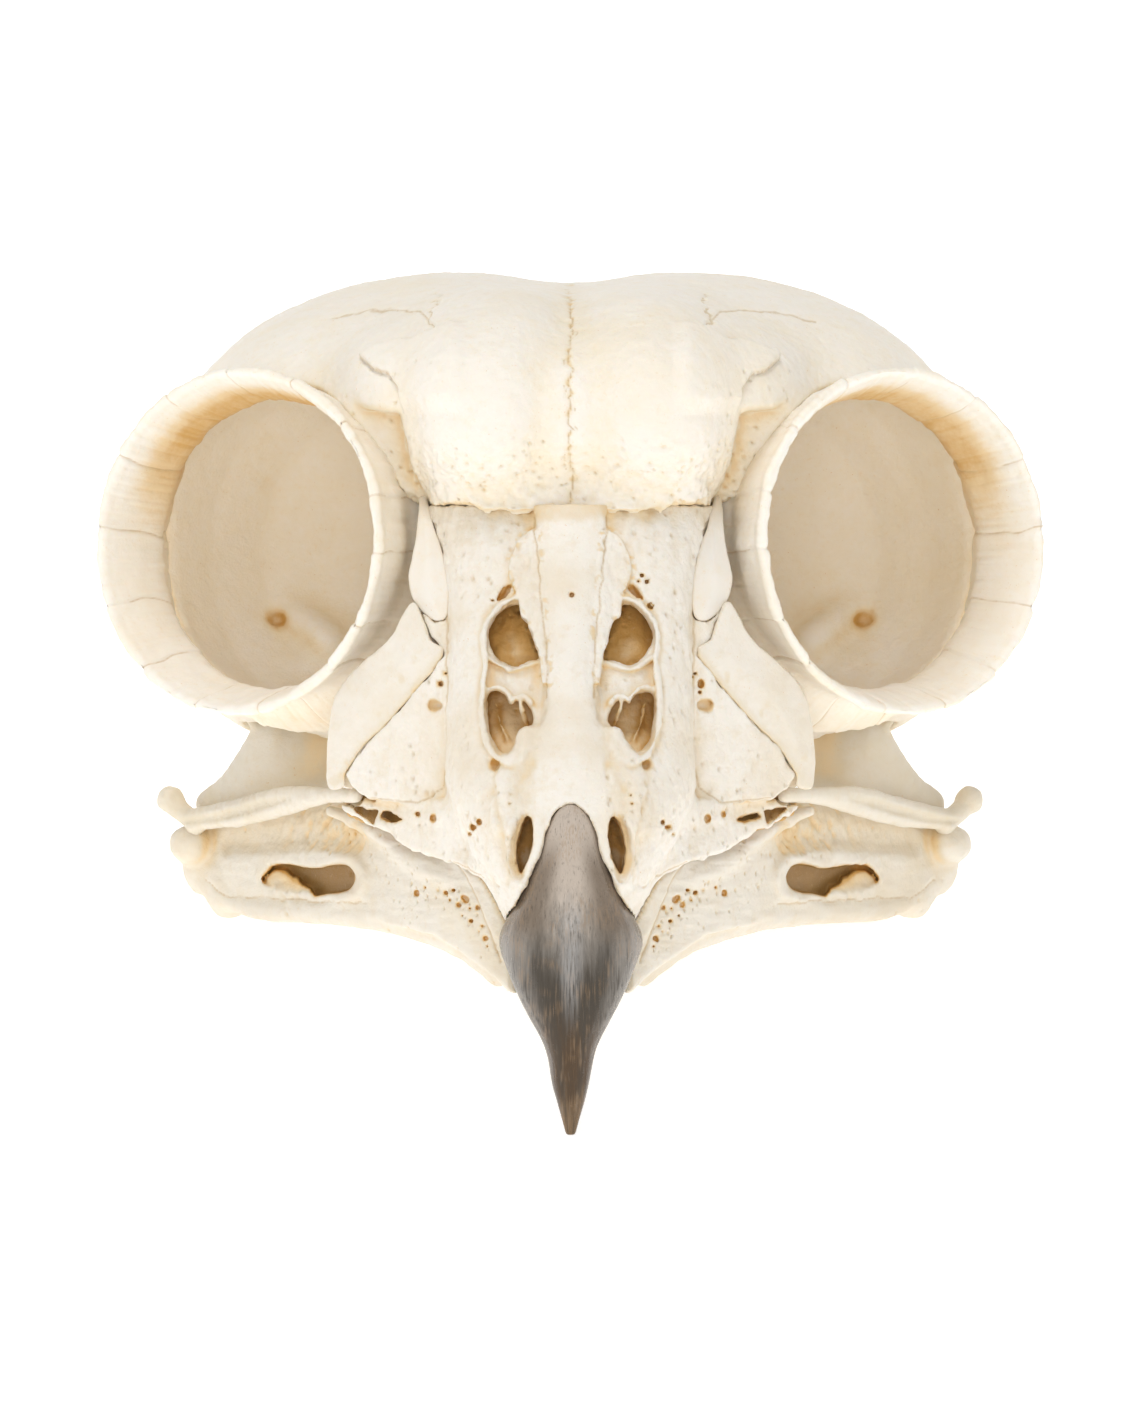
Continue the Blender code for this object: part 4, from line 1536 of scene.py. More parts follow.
        lower = ease(56.2, 51.8, z) * front * ease(20.0, 14.0, y)
        flank = ease(9.0, 12.5, side) * ease(63.0, 58.0, z) * front * ease(20.0, 14.0, y)
        blotchy = 0.6 + 0.4 * ease(-0.4, 0.5, waves(points, 2.6, 51))
        share = np.clip(0.95 * lower * blotchy + 0.30 * flank, 0, 1)
        near = share > 0.02
        pits = np.zeros(len(points))
        pits[near] = pores(points[near] * (1.0, 1.0, 1.35), 0.62, share[near], 61)
        skin.rise -= 0.26 * pits
        skin.rise += (0.05 + 0.13 * lower) * waves(points, 0.6, 71, 2) * ease(53.0, 50.0, y)
        # Painted shade on the undersides and just below the forehead's lower lip.
        beneath = ease(-0.2, -0.8, normals[:, 2]) * ease(30.0, 26.0, y)
        skin.stain_and_shade += 0.10 * pits + 0.06 * ease(51.4, 50.2, z) * beneath
        behind_lip = ease(8.5, 9.2, y) * ease(16.0, 14.0, y) * front
        skin.stain_and_shade += 0.10 * ease(50.8, 49.8, z + 0.3 * waves(points, 1.0, 73, 2)) * behind_lip
        skin.porous = np.clip(0.5 * share + 0.5 * pits, 0, 1)

        back = ease(0.0, 0.4, normals[:, 1]) * ease(48.0, 56.0, y)
        far_line = np.abs(z - 55.5 - 0.02 * side ** 2 + 0.5 * waves(points, 1.6, 81, 2))
        skin.groove(far_line, 0.22, 0.09, back * ease(23.0, 20.0, side))
        down = np.array(eye_axis())[:3, 2]
        bowl = (points * (np.sign(x)[:, None] * (1, 0, 0) + (0, 1, 1)) - RING_CENTRE) @ down
        wall = np.abs(Turned(ORBIT_PROFILE).beside(points))
        # Painted shade inside the orbits, stronger towards their top.
        in_orbit = ease(3.6, 2.0, wall) * ease(7.0, 12.0, bowl)
        skin.stain_and_shade += (0.06 + 0.15 * ease(38.0, 45.0, z)) * in_orbit
        smear = np.hypot(side - self.foramen[0] + 0.3, (z - self.foramen[1]) * 1.2)
        smear = smear + 0.3 * waves(points, 1.0, 75)
        skin.stain_and_shade += 0.14 * np.exp(-(smear / 1.3) ** 2) * in_orbit
        # Painted shade along the crease under the fold.
        fold = line_distance([(23.9, 40.6), (22.4, 39.9), (21.0, 38.8), (19.6, 37.4)], side, z)
        skin.stain_and_shade += 0.16 * np.exp(-(fold / 0.6) ** 2) * in_orbit
        skin.groove(np.abs(x + 0.3 * waves(points, 1.2, 83, 2)), 0.2, 0.08,
                    ease(0.3, 0.6, normals[:, 2]) * ease(44.0, 47.0, y))
        return skin

    def build(self) -> None:
        """Make the piece."""
        clay = Clay((0.0, 3.0, 22.0), (36.0, 80.0, 72.0), self.step)
        self.braincase(clay)
        self.forehead(clay)
        self.openings(clay)
        self.orbit_detail(clay)
        self.rear_detail(clay)
        clay.unfold()
        self.crumbs(clay)
        clay.cut(floor_plane(), 0.0)
        clay.cut(Half((0.30, 0.0, 0.0), (-0.64, 0.0, 0.77)), 0.4)
        piece = Piece("cranium_bone", ["cranium"], Slot.CRANIUM.value, self.finish.material())
        piece.from_clay(clay, self.relief, 3, lambda at: (at[:, 1] < 24.0) & (at[:, 2] > 49.0))


PALATINE = Bar(((5.2, 20.5, 24.8), (6.0, 27.0, 25.0), (6.2, 35.0, 25.4), (4.4, 41.5, 25.6)),
               ((2.4, 0.8), (2.9, 0.8), (2.8, 0.9), (1.3, 1.1)), steps=3)

FACE = (
    # z, half width, front, rear
    (15.8, 4.6, -3.6, 12.5), (19.0, 6.2, -4.4, 15.0), (23.0, 8.2, -4.0, 18.0), (27.0, 9.8, -2.8, 20.4),
    (32.0, 9.9, -0.2, 21.0), (38.0, 9.9, 2.9, 21.0), (44.0, 10.05, 5.9, 21.0), (47.0, 10.75, 7.45, 20.8),
    (50.0, 11.5, 9.0, 20.5),
)
FACE_POWER = 3.2


def face_front(x: Array, z: Array) -> Array:
    """Depth of the face's front at a place seen from the front.

    Args:
        x: places across.
        z: places in height.

    Returns:
        Depths of the front.
    """
    track = spline(FACE, 6)
    half, front, rear = (np.interp(z, track[:, 0], track[:, column]) for column in (1, 2, 3))
    across = np.clip(np.abs(x) / half, 0.0, 0.985)
    return (front + rear) / 2 - (rear - front) / 2 * (1 - across ** FACE_POWER) ** (1 / FACE_POWER)


def cheek_depth(x: Array, z: Array) -> Array:
    """How far back the cheek plates' front lies."""
    return 8.0 + 0.55 * (np.abs(x) - 10.0) + 0.0 * z


def maxilla_depth(x: Array, z: Array) -> Array:
    """How far back the flaring lower edge of the face lies."""
    return 2.2 + 1.22 * (np.abs(x) - 7.0) + 0.12 * (z - 22.0)


def lacrimal_depth(x: Array, z: Array) -> Array:
    """How far back the lacrimals' front lies, which runs in under the forehead."""
    return 9.5 + 0.30 * (np.abs(x) - 10.3) + 0.25 * (z - 43.0) + 0.35 * np.maximum(z - 48.0, 0) ** 2


@dataclass
class UpperJaw:
    """The bones of the face: nasal bar, windows, nostrils, inner cheeks and the maxilla's wings."""

    step: float = 0.17
    ridge_path: Sequence[Point] = ((0, 8.6, 50), (0, 5.9, 44), (0, 3.9, 40), (0, 1.9, 36.5), (0, 0.6, 33.5),
                                   (0, -0.6, 31.2), (0, -1.8, 28.4), (0, -2.5, 25.5), (0, -3.0, 22.0))
    ridge_sizes: Sequence[Spot] = ((2.95, 1.5), (2.6, 1.5), (2.15, 1.5), (1.95, 1.5), (2.15, 1.5),
                                   (2.75, 1.5), (4.0, 1.5), (5.0, 1.45), (5.0, 1.4))
    upper_window: Sequence[Spot] = ((4.16, 42.02), (5.28, 41.59), (6.15, 40.65), (6.53, 39.61), (6.41, 38.58),
                                    (5.63, 37.63), (4.6, 37.11), (3.39, 37.46), (2.4, 37.75), (2.2, 39.6),
                                    (2.6, 41.2))
    lower_window: Sequence[Spot] = ((6.6, 34.7), (6.14, 35.09), (5.62, 35.04), (5.1, 34.7), (4.67, 34.01),
                                    (4.33, 34.3), (3.9, 34.35), (3.38, 34.1), (2.9, 33.06), (3.1, 32.03),
                                    (3.5, 31.0), (3.85, 30.25), (4.59, 30.0), (5.45, 30.23), (6.14, 31.0),
                                    (6.44, 32.2), (6.65, 33.75))
    panel: Sequence[Spot] = ((4.16, 42.7), (5.45, 42.05), (6.74, 40.5), (7.09, 38.92), (6.95, 37.54),
                             (7.04, 35.47), (7.14, 33.75), (6.92, 32.03), (6.23, 30.14), (4.78, 29.3),
                             (3.7, 29.5), (2.4, 32.0), (1.8, 36.0), (2.2, 40.0), (2.9, 42.4))
    chamber: Sequence[Spot] = ((4.2, 42.9), (6.2, 41.8), (7.3, 39.4), (7.5, 36.4), (7.4, 33.4), (6.9, 30.9),
                               (5.4, 29.3), (3.2, 29.6), (1.5, 32.4), (1.2, 36.4), (1.6, 40.2), (2.6, 42.4))
    flake_outer: Sequence[Spot] = ((3.0, 48.0), (3.7, 47.6), (4.25, 47.0), (4.77, 45.99), (4.94, 44.6),
                                   (4.68, 43.6), (4.25, 42.7), (4.0, 41.7), (3.9, 41.0), (3.45, 40.65),
                                   (3.08, 39.8), (2.95, 39.1), (2.6, 38.2), (2.45, 37.2), (2.2, 35.7))
    flake_inner: Sequence[Spot] = ((1.6, 35.7), (1.8, 40.0), (2.2, 43.9), (2.5, 47.6))
    inner_cheek: Sequence[Spot] = ((8.0, 39.6), (10.15, 37.86), (14.03, 33.14), (16.52, 30.72),
                                   (18.03, 28.44), (17.4, 27.4), (16.1, 26.45), (14.3, 26.2), (11.6, 26.0),
                                   (8.0, 25.5))
    process: Sequence[Spot] = ((5.5, 26.6), (9.6, 26.6), (13.3, 26.1), (16.5, 26.35), (18.2, 26.9),
                               (18.4, 26.3), (16.9, 25.75), (14.4, 25.3), (12.2, 24.6), (10.0, 24.4),
                               (5.5, 24.0))
    maxilla: Sequence[Spot] = ((5.5, 25.6), (10.6, 25.6), (13.1, 24.75), (15.2, 25.1), (15.7, 24.7),
                               (14.78, 23.83), (12.69, 22.46), (11.23, 21.94), (9.25, 21.32), (6.43, 19.96),
                               (4.66, 17.24), (4.0, 17.5))
    lacrimal_seat: Sequence[Spot] = ((9.0, 41.3), (12.0, 41.6), (12.5, 43.6), (12.1, 47.0), (11.8, 49.4),
                                     (9.0, 49.4))
    lacrimal_border: Sequence[Spot] = ((9.0, 38.0), (10.1, 38.2), (11.1, 39.4), (11.5, 40.5), (12.3, 42.0),
                                       (11.7, 41.3), (10.8, 40.55), (9.95, 40.8), (9.64, 42.0), (9.74, 43.9),
                                       (10.04, 45.6), (10.5, 47.2), (11.04, 48.8), (11.62, 51.0), (9.0, 51.0))
    wing: Sequence[Spot] = ((12.4, 24.2), (14.6, 24.3), (15.8, 24.1), (17.0, 24.9), (18.3, 25.5),
                            (18.6, 26.6), (15.0, 26.4), (12.2, 26.0))
    # a wall behind the wing that shows through the slits; the relief paints it dark as shade
    wing_back: Sequence[Spot] = ((9.0, 23.4), (9.0, 27.2), (15.4, 27.2), (18.2, 26.6), (18.0, 25.0),
                                 (14.6, 23.8))
    slits: Sequence[Sequence[Spot]] = (
        ((17.75, 25.9), (16.67, 25.72), (15.45, 25.55), (15.75, 24.42), (16.8, 25.2)),
        ((15.05, 25.52), (14.05, 25.22), (13.25, 24.86), (13.9, 24.6), (15.2, 24.92)),
    )
    rims: Sequence[Sequence[Spot]] = (
        ((3.4, 42.4), (4.2, 42.55), (5.5, 42.0), (6.5, 40.9), (6.9, 39.5), (6.85, 38.3), (6.7, 37.3),
         (6.85, 36.2), (7.0, 34.7), (6.95, 32.6), (6.65, 31.1), (5.9, 29.85), (4.8, 29.5), (3.8, 29.75),
         (3.2, 30.8)),
        ((6.7, 37.9), (5.8, 37.25), (4.7, 36.8), (3.5, 37.1), (2.5, 37.4)),
        ((6.9, 35.1), (6.0, 35.42), (5.4, 35.3), (4.9, 34.85), (4.62, 34.35), (4.25, 34.65), (3.6, 34.65),
         (3.1, 34.1)),
    )
    nostril: Sequence[Spot] = ((3.36, 25.2), (3.85, 24.5), (4.2, 23.4), (4.33, 22.37), (4.25, 21.4),
                               (3.95, 20.65), (3.5, 21.2), (3.1, 22.4), (2.95, 23.61), (3.02, 24.7))
    finish: BoneFinish = BoneFinish("face_bone", light=(0.91, 0.855, 0.765), warm=(0.83, 0.72, 0.555),
                                    mottle=0.8, grain_depth=0.17)

    def ridge_front(self, x: Array, z: Array) -> Array:
        """Depth of the nasal bar's front face.

        Args:
            x: places across.
            z: places in height.

        Returns:
            Depths of the front face.
        """
        path, sizes = spline(self.ridge_path, 4), spline(self.ridge_sizes, 4)
        level = path[::-1, 2]
        front = (path[:, 1] - sizes[:, 1])[::-1]
        return np.interp(z, level, front) + 0.06 * np.maximum(np.abs(x) - 1.6, 0) ** 2

    def body(self, clay: Clay) -> None:
        """The hollow box of the face with its cheeks and the maxilla's wings.

        Args:
            clay: the block to shape.
        """
        clay.add(Stack(FACE, FACE_POWER), 0.0)
        clay.add(Plate(self.inner_cheek, cheek_depth, 2.0, 0.07, 0.55), 0.25)
        clay.add(Plate(rounded(self.process, 3), lambda x, z: 2.6 + 1.24 * (np.abs(x) - 7.0) + 0.0 * z,
                       1.6, 0.45, 1.2), 0.8)
        clay.add(Plate(self.maxilla, maxilla_depth, 1.4, 0.4, 1.2), 0.7)
        clay.add(Plate(self.lacrimal_seat, lambda x, z: lacrimal_depth(x, z) + 2.75, 2.0, 0.3, 0.5), 0.3)
        clay.add(Plate(self.lacrimal_border, lambda x, z: lacrimal_depth(x, z) + 0.15, 3.0, 0.06, 0.5), 0.5)
        clay.add(Plate(self.wing, lambda x, z: maxilla_depth(x, z) + 0.1, 1.1, 0.15, 1.2), 0.3)
        clay.add(Plate(self.wing_back, lambda x, z: maxilla_depth(x, z) + 1.9, 1.0, 0.3, 1.2), 0.3)
        for slit in self.slits:
            clay.cut(Plate(slit, lambda x, z: maxilla_depth(x, z) - 3.5, 5.3, 0.02, 1.2), 0.08)

    def side_depth(self, x: Array, z: Array) -> Array:
        """A depth in front of the whole face, for cuts that start in the open."""
        return face_front(x, z) - 4.0

    def windows(self, clay: Clay) -> None:
        """Sink the panel beside the bar, ridge its rim, and cut both windows through it.

        Args:
            clay: the block to shape.
        """
        panel, upper, lower = (rounded(outline, 3)
                               for outline in (self.panel, self.upper_window, self.lower_window))

        def height(x: Array, y: Array, z: Array) -> Array:
            """How far the panel sinks and its rims rise, near the face's front.

            Args:
                x: places across.
                y: places in depth.
                z: places in height.

            Returns:
                The rise, in millimetres.
            """
            near = ease(2.6, 1.4, np.abs(y - face_front(x, z)))
            border = outline_distance(panel, x[:, 0], z[0])[:, None, :]
            edge = np.minimum(np.abs(outline_distance(upper, x[:, 0], z[0]) - 0.22),
                              np.abs(outline_distance(lower, x[:, 0], z[0]) - 0.22))[:, None, :]
            sunk = -0.50 * ease(0.15, -0.45, border)
            rim = 0.28 * np.exp(-((border + 0.05) / 0.36) ** 2) + 0.20 * np.exp(-(edge / 0.24) ** 2)
            return (near * (sunk + rim)).astype(np.float32)

        clay.emboss((1.0, -6.0, 28.0), (9.0, 9.0, 44.5), height)
        clay.cut(Plate(rounded(self.chamber, 3), lambda x, z: face_front(x, z) + 1.55, 6.0, 1.4), 0.2)
        clay.add(Plate(rounded(self.chamber, 3), self.window_back, 2.0, 0.2, 0.4), 0.5)
        for rim, proud in zip(self.rims, (0.22, -0.22, -0.22)):
            track = [(x, float(face_front(x, z)) - proud, z) for x, z in rim]
            clay.add(Bar(track, [(0.21, 0.21)] * len(track), rise=(0.0, -1.0, 0.3)), 0.16)
        for outline in (upper, lower):
            clay.cut(Plate(outline, self.side_depth, 6.2, 0.1, 0.4), 0.12)
        clay.cut(Bar(((7.3, 2.1, 35.5), (7.5, 2.4, 36.5), (7.45, 3.1, 38.0)),
                     ((0.1, 0.35), (0.17, 0.5), (0.1, 0.35)),
                     rise=(0.0, -1.0, 0.3)), 0.12)

    def window_back(self, x: Array, z: Array) -> Array:
        """Depth of the wall seen through the windows, which comes forward below."""
        return face_front(x, z) + np.interp(z, (29.5, 30.5, 32.5, 35.0, 38.0, 42.5),
                                            (1.9, 2.4, 3.1, 3.0, 2.5, 3.0))

    def ridge(self, clay: Clay) -> None:
        """The smooth nasal bar and the ragged flakes of bone along it.

        Args:
            clay: the block to shape.
        """
        clay.add(Plate([*self.flake_outer, *self.flake_inner], self.flake_front, 2.2, 0.08, 0.3), 0.06)
        clay.add(Bar(self.ridge_path, self.ridge_sizes, rise=(0.0, -1.0, 0.3)), 0.45)
        clay.add(Bar(((3.4, -0.4, 31.6), (4.3, -1.2, 29.4), (5.2, -2.2, 27.2), (5.3, -3.0, 24.6)),
                     ((0.5, 0.7), (0.6, 0.8), (0.7, 0.8), (0.6, 0.6))), 1.6)
        clay.add(Bar(((4.0, 1.5, 34.3), (3.85, 1.7, 33.4), (3.5, 2.4, 32.6), (3.2, 3.2, 31.6)),
                     ((0.16, 0.16), (0.2, 0.2), (0.15, 0.15), (0.1, 0.1))), 0.2)
        knees = ((5.9, 34.2, 2.0), (5.6, 32.6, 2.6), (5.0, 31.2, 2.4))
        strut = [(x, float(face_front(x, z)) + sunk, z) for x, z, sunk in knees]
        clay.add(Bar(strut, ((0.10, 0.14), (0.12, 0.16), (0.12, 0.14)), rise=(0.0, -1.0, 0.3)), 0.4)

    def flake_front(self, x: Array, z: Array) -> Array:
        """Depth of the flakes, from the bar's edge down to a little proud of the face's front."""
        share = ease(2.3, 3.6, np.abs(x))
        return (1 - share) * (self.ridge_front(x, z) + 0.5) + share * (face_front(x, z) - 0.50)

    def drill(self, clay: Clay, x: float, z: float, radius: float, tall: float | None = None,
              depth: float = 0.8) -> None:
        """Sink a small foramen where a straight look from the front meets the bone.

        Args:
            clay: the block.
            x: place to the side.
            z: place in height.
            radius: half width.
            tall: half height, when it isn't round.
            depth: how deep it goes.
        """
        front = clay.front_depth(x, z, -9.0)
        clay.cut(Lump((x, front, z), (radius, depth, tall or radius), 2.0), 0.1)

    def nostrils(self, clay: Clay) -> None:
        """Cut the nostrils, with a ridge outside each, and room for the horn.

        Args:
            clay: the block to shape.
        """
        outline = rounded(self.nostril, 3)

        def height(x: Array, y: Array, z: Array) -> Array:
            """How far the ridge outside the nostril rises and its funnel sinks.

            Args:
                x: places across.
                y: places in depth.
                z: places in height.

            Returns:
                The rise, in millimetres.
            """
            near = ease(3.0, 1.6, np.abs(y - face_front(x, z)))
            border = outline_distance(outline, x[:, 0], z[0])[:, None, :]
            outer = ease(3.4, 3.9, x) * ease(25.6, 24.6, z)
            funnel = -0.55 * ease(0.55, 0.0, border) * ease(3.3, 3.8, x)
            return (near
                    * (0.34 * outer * np.exp(-((border - 0.85) / 0.30) ** 2) + funnel)).astype(np.float32)

        clay.emboss((2.0, -7.0, 19.0), (6.5, 6.0, 27.0), height)
        clay.cut(Plate(outline, self.side_depth, 9.0, 0.1, 0.2), 0.10)
        clay.cut(Stack(SHEATH[2:], 2.1, grow=0.04), 0.05)
        arch = [((0.9 + 0.06 * float(ease(19.6, 17.8, z))) * half, z - 0.05)
                for z, half, front, rear in spline(SHEATH[7:], 6)]
        arch += [(-x, z) for x, z in arch[::-1]]

        def behind(x: Array, z: Array) -> Array:
            """Depth at which the room for the horn starts."""
            return np.interp(z, (17.0, 22.0, 26.0), (-19.0, -21.8, -22.6)) + 0.0 * x

        clay.cut(Plate(arch, behind, 20.0, 0.05), 0.3)

    def room(self, clay: Clay) -> None:
        """Leave room for the eye rings, the lacrimals and the lower jaw, and cut the ends flat.

        Args:
            clay: the block to shape.
        """
        clay.cut(Turned(ORBIT_PROFILE), 0.3)
        clay.cut(grown(RAMUS_BAR, JOINT_GAP), 0.2)
        clay.cut(Bar(JugalBars.path, [(wide + 0.2, high + 0.2) for wide, high in JugalBars.sizes],
                     steps=6), 0.1)
        clay.cut(Block((-40.0, -20.0, HINGE_Z + 0.77), (40.0, 13.0, 80.0)), 0.04)
        clay.cut(Block((-40.0, 12.9, HINGE_Z + 0.27), (40.0, 40.0, 80.0)), 0.04)
        clay.cut(Block((-40.0, JAW_BACK_Y + 0.2, -20.0), (40.0, 40.0, 80.0)), 0.1)
        clay.cut(Half((0.0, 9.0, 18.3), (0.0, -0.33, 0.94)), 0.2)

    def foramina(self, clay: Clay) -> None:
        """The small openings that both sides have.

        Args:
            clay: the block to shape.
        """
        for x, z, radius, tall in ((10.75, 33.96, 0.72, 0.55), (10.37, 35.69, 0.24, 0.32),
                                   (9.95, 36.5, 0.14, 0.14), (10.92, 24.97, 0.33, 0.33),
                                   (12.21, 25.28, 0.2, 0.18), (4.72, 26.88, 0.12, 0.12),
                                   (4.84, 26.19, 0.12, 0.17), (7.68, 24.34, 0.42, 0.22),
                                   (7.22, 24.76, 0.2, 0.24), (8.0, 23.82, 0.3, 0.18)):
            self.drill(clay, x, z, radius, tall)
        slant = [(x, float(face_front(x, z)) + 0.1, z) for x, z in ((4.85, 43.4), (5.2, 43.0), (5.55, 42.5))]
        clay.cut(Bar(slant, ((0.22, 0.7), (0.32, 0.9), (0.22, 0.7)), rise=(0.0, -1.0, 0.3)), 0.15)
        hollow = [(x, float(face_front(x, z)) + 0.1, z) for x, z in ((6.0, 29.3), (5.4, 29.05), (4.7, 28.95))]
        clay.cut(Bar(hollow, ((0.42, 0.4), (0.28, 0.3), (0.1, 0.1)), rise=(0.0, -1.0, 0.3)), 0.35)

    def lone_foramina(self, clay: Clay) -> None:
        """Openings that only one side has, and the one in the middle of the nasal bar.

        Args:
            clay: the block to shape.
        """
        self.drill(clay, 0.1, 42.75, 0.25)
        for x, z, radius in ((5.67, 44.31, 0.2), (5.41, 43.84, 0.17), (6.06, 43.79, 0.2), (6.3, 41.86, 0.17),
                             (-6.2, 42.3, 0.12), (10.3, 35.0, 0.15), (9.68, 36.26, 0.14), (-11.3, 45.6, 0.2)):
            self.drill(clay, x, z, radius)

    def relief(self, points: Array, normals: Array) -> Relief:
        """Grain, seams and pores of the face, with painted shade in its openings and under the forehead.

        Args:
            points: the skin's points.
            normals: their normals.

        Returns:
            The relief.
        """
        x, y, z = points.T
        side = np.abs(x)
        skin = Relief.flat(len(points))
        front = ease(0.1, -0.3, normals[:, 1])
        bar = ease(3.2, 2.2, side) * ease(24.0, 28.0, z) * ease(1.2, 0.3, np.abs(y - self.ridge_front(x, z)))
        rough = 1 - 0.85 * bar
        grain = 0.12 * waves(points, (0.7, 1.5, 2.4), 101, 3) + 0.06 * waves(points, 0.55, 103, 2)
        skin.rise += grain * rough
        skin.rise += 0.06 * waves(points, 2.2, 105, 2)

        deep = y - face_front(x, z)
        opened = ease(8.8, 8.2, side) * ease(28.0, 29.0, z)
        inward = ease(0.6, 1.6, deep) * opened * (normals[:, 1] > -0.3)
        # Painted shadow on the top of the face, under the forehead's lip.
        ledge = z + 0.35 * waves(points, 1.2, 108, 2)
        skin.stain_and_shade += 0.26 * ease(48.0, 49.4, ledge) * ease(7.8, 5.6, side) + 0.16 * ease(47.8, 49.6, ledge)
        flake = outline_distance([*self.flake_outer, *self.flake_inner], side, z)
        on_flake = ease(0.15, -0.15, flake) * front
        ragged = 0.10 * waves(points, 0.5, 112, 2) + 0.08 * waves(points, (0.4, 0.8, 1.4), 113, 2)
        skin.rise += on_flake * ragged
        specks = ease(0.15, 0.6, waves(points, 0.45, 114, 2))
        skin.stain_and_shade += 0.55 * ease(0.55, 0.0, np.abs(flake)) * front * specks
        # Painted shade inside the nostrils, darker towards their top, and inside the windows.
        in_nostril = ease(0.05, -0.15, outline_distance(self.nostril, side, z)) * ease(0.3, 0.9, deep)
        skin.stain_and_shade += in_nostril * (0.05 + 0.60 * ease(22.0, 23.4, z))
        skin.stain_and_shade += 0.15 * inward * ease(43.8, 43.0, z)
        shade = 0.24 + 0.28 * ease(34.0, 37.0, z)
        skin.stain_and_shade += ease(1.6, 2.2, deep) * opened * ease(43.8, 43.0, z) * shade
        # Painted shade on the wall behind the maxilla's wing, seen through the slits.
        slit_backing_shade = ease(1.1, 1.5, y - maxilla_depth(x, z)) * ease(12.0, 13.0, side) * ease(23.0, 23.8, z)
        skin.stain_and_shade += 1.2 * slit_backing_shade

        wobble = 0.10 * waves(points, 0.8, 107, 2)
        edge = line_distance([(3.0, 49.0), (2.75, 46.5), (2.4, 43.0), (2.1, 40.0), (1.85, 37.0),
                              (1.95, 34.6)],
                             side + wobble, z)
        skin.groove(edge, 0.12, 0.13, front)
        body_edge = line_distance([(11.0, 48.5), (10.5, 46.0), (9.95, 43.0), (9.85, 38.0), (9.75, 30.0),
                                   (10.2, 27.4), (12.2, 26.2), (16.0, 26.5)], side + wobble, z)
        skin.groove(body_edge, 0.12, 0.09, front)

        rim = line_distance(self.rims[0], side + 0.5 * wobble, z)
        beyond = ease(-0.1, 0.1, outline_distance(rounded(self.rims[0], 2), side, z)) * ease(4.0, 4.8, side)
        skin.rise -= 0.16 * np.exp(-((rim - 0.48) / 0.20) ** 2) * front * beyond
        # Painted shade in the groove just outside the window rim.
        skin.stain_and_shade += 0.20 * np.exp(-((rim - 0.42) / 0.16) ** 2) * front * beyond
        # A painted highlight along the rim's crest; the smooth nasal bar is made paler too.
        skin.stain_and_shade -= 0.10 * np.exp(-(rim / 0.2) ** 2) * front + 0.08 * bar
        skin.stain_and_shade += 0.30 * np.exp(-(np.hypot(side - 2.9, (z - 29.3) / 1.4) / 0.35) ** 2) * front
        fold = line_distance([(9.3, 21.45), (7.78, 20.75), (6.6, 20.2), (5.7, 19.6)], side + wobble, z)
        skin.groove(fold, 0.13, 0.08, front)
        for line, sunk in (([(5.9, 29.3), (6.1, 28.3), (5.9, 26.5), (5.3, 24.0), (5.2, 21.8),
                             (4.9, 19.9)], 0.14),
                           ([(3.3, 30.2), (3.6, 28.6), (4.3, 27.2)], 0.10)):
            close = np.exp(-(line_distance(line, side + 2 * wobble, z) / 0.22) ** 2) * front
            skin.rise -= sunk * close
            skin.stain_and_shade += 0.10 * close
        patchy = ease(-0.1, 0.6, waves(points, 3.0, 111, 2))
        low = ease(31.0, 26.0, z) * ease(2.0, 4.0, side)
        high = ease(39.0, 42.0, z) * ease(3.5, 5.0, side) * ease(9.4, 8.6, side)
        share = np.clip((0.40 * patchy + 0.34 * low + 0.36 * high + 0.06) * front * rough, 0, 1)
        near = share > 0.05
        pits = np.zeros(len(points))
        pits[near] = pores(points[near] * (1.0, 1.0, 0.75), 0.62, share[near], 121)
        skin.rise -= 0.22 * pits
        skin.porous = np.clip(share + 0.5 * pits, 0, 1)
        return skin

    def build(self) -> None:
        """Make the piece."""
        clay = Clay((0.0, -7.0, 14.0), (19.5, 22.0, 50.5), self.step)
        self.body(clay)
        self.windows(clay)
        self.ridge(clay)
        self.nostrils(clay)
        self.room(clay)
        self.foramina(clay)
        clay.unfold()
        self.lone_foramina(clay)
        piece = Piece("face_bone", ["upper_jaw"], Slot.FACE.value, self.finish.material())
        piece.from_clay(clay, self.relief, 1)


RAMUS_BAR = Bar(((4.6, 8.6, 14.2), (9.0, 12.0, 17.8), (14.2, 18.5, 19.8), (20.6, 29.0, 20.8),
                 (26.5, 38.5, 21.0), (30.6, 45.2, 21.2)),
                ((1.4, 3.2), (1.3, 3.6), (1.2, 4.0), (1.1, 4.1), (1.2, 4.0), (1.6, 2.9)))
SHEATH = (
    # z, half width, front, rear
    (0.0, 0.35, -0.30, 0.35), (1.6, 0.80, -0.85, 0.85), (4.0, 1.45, -2.1, 1.5), (7.0, 2.1, -3.5, 2.1),
    (10.0, 3.65, -4.7, 2.9), (13.0, 5.0, -5.5, 5.1), (15.4, 5.65, -5.9, 7.0), (17.6, 4.85, -5.95, 6.2),
    (20.0, 3.78, -5.6, 3.4), (22.4, 2.62, -5.0, 0.2), (24.0, 2.06, -4.6, -1.2), (25.1, 1.52, -4.35, -1.8),
    (25.8, 0.95, -4.15, -2.3), (26.15, 0.35, -3.95, -2.8),
)
LOWER_BILL = (
    # z, half width, front, rear
    (8.6, 2.0, 2.6, 5.4), (10.4, 3.6, 3.0, 8.6), (12.6, 4.9, 4.4, 11.5), (15.4, 5.9, 6.6, 12.5),
    (17.4, 5.6, 8.0, 12.5),
)
HORN_END_Y = 8.0  # how far back the lower bill's horn reaches


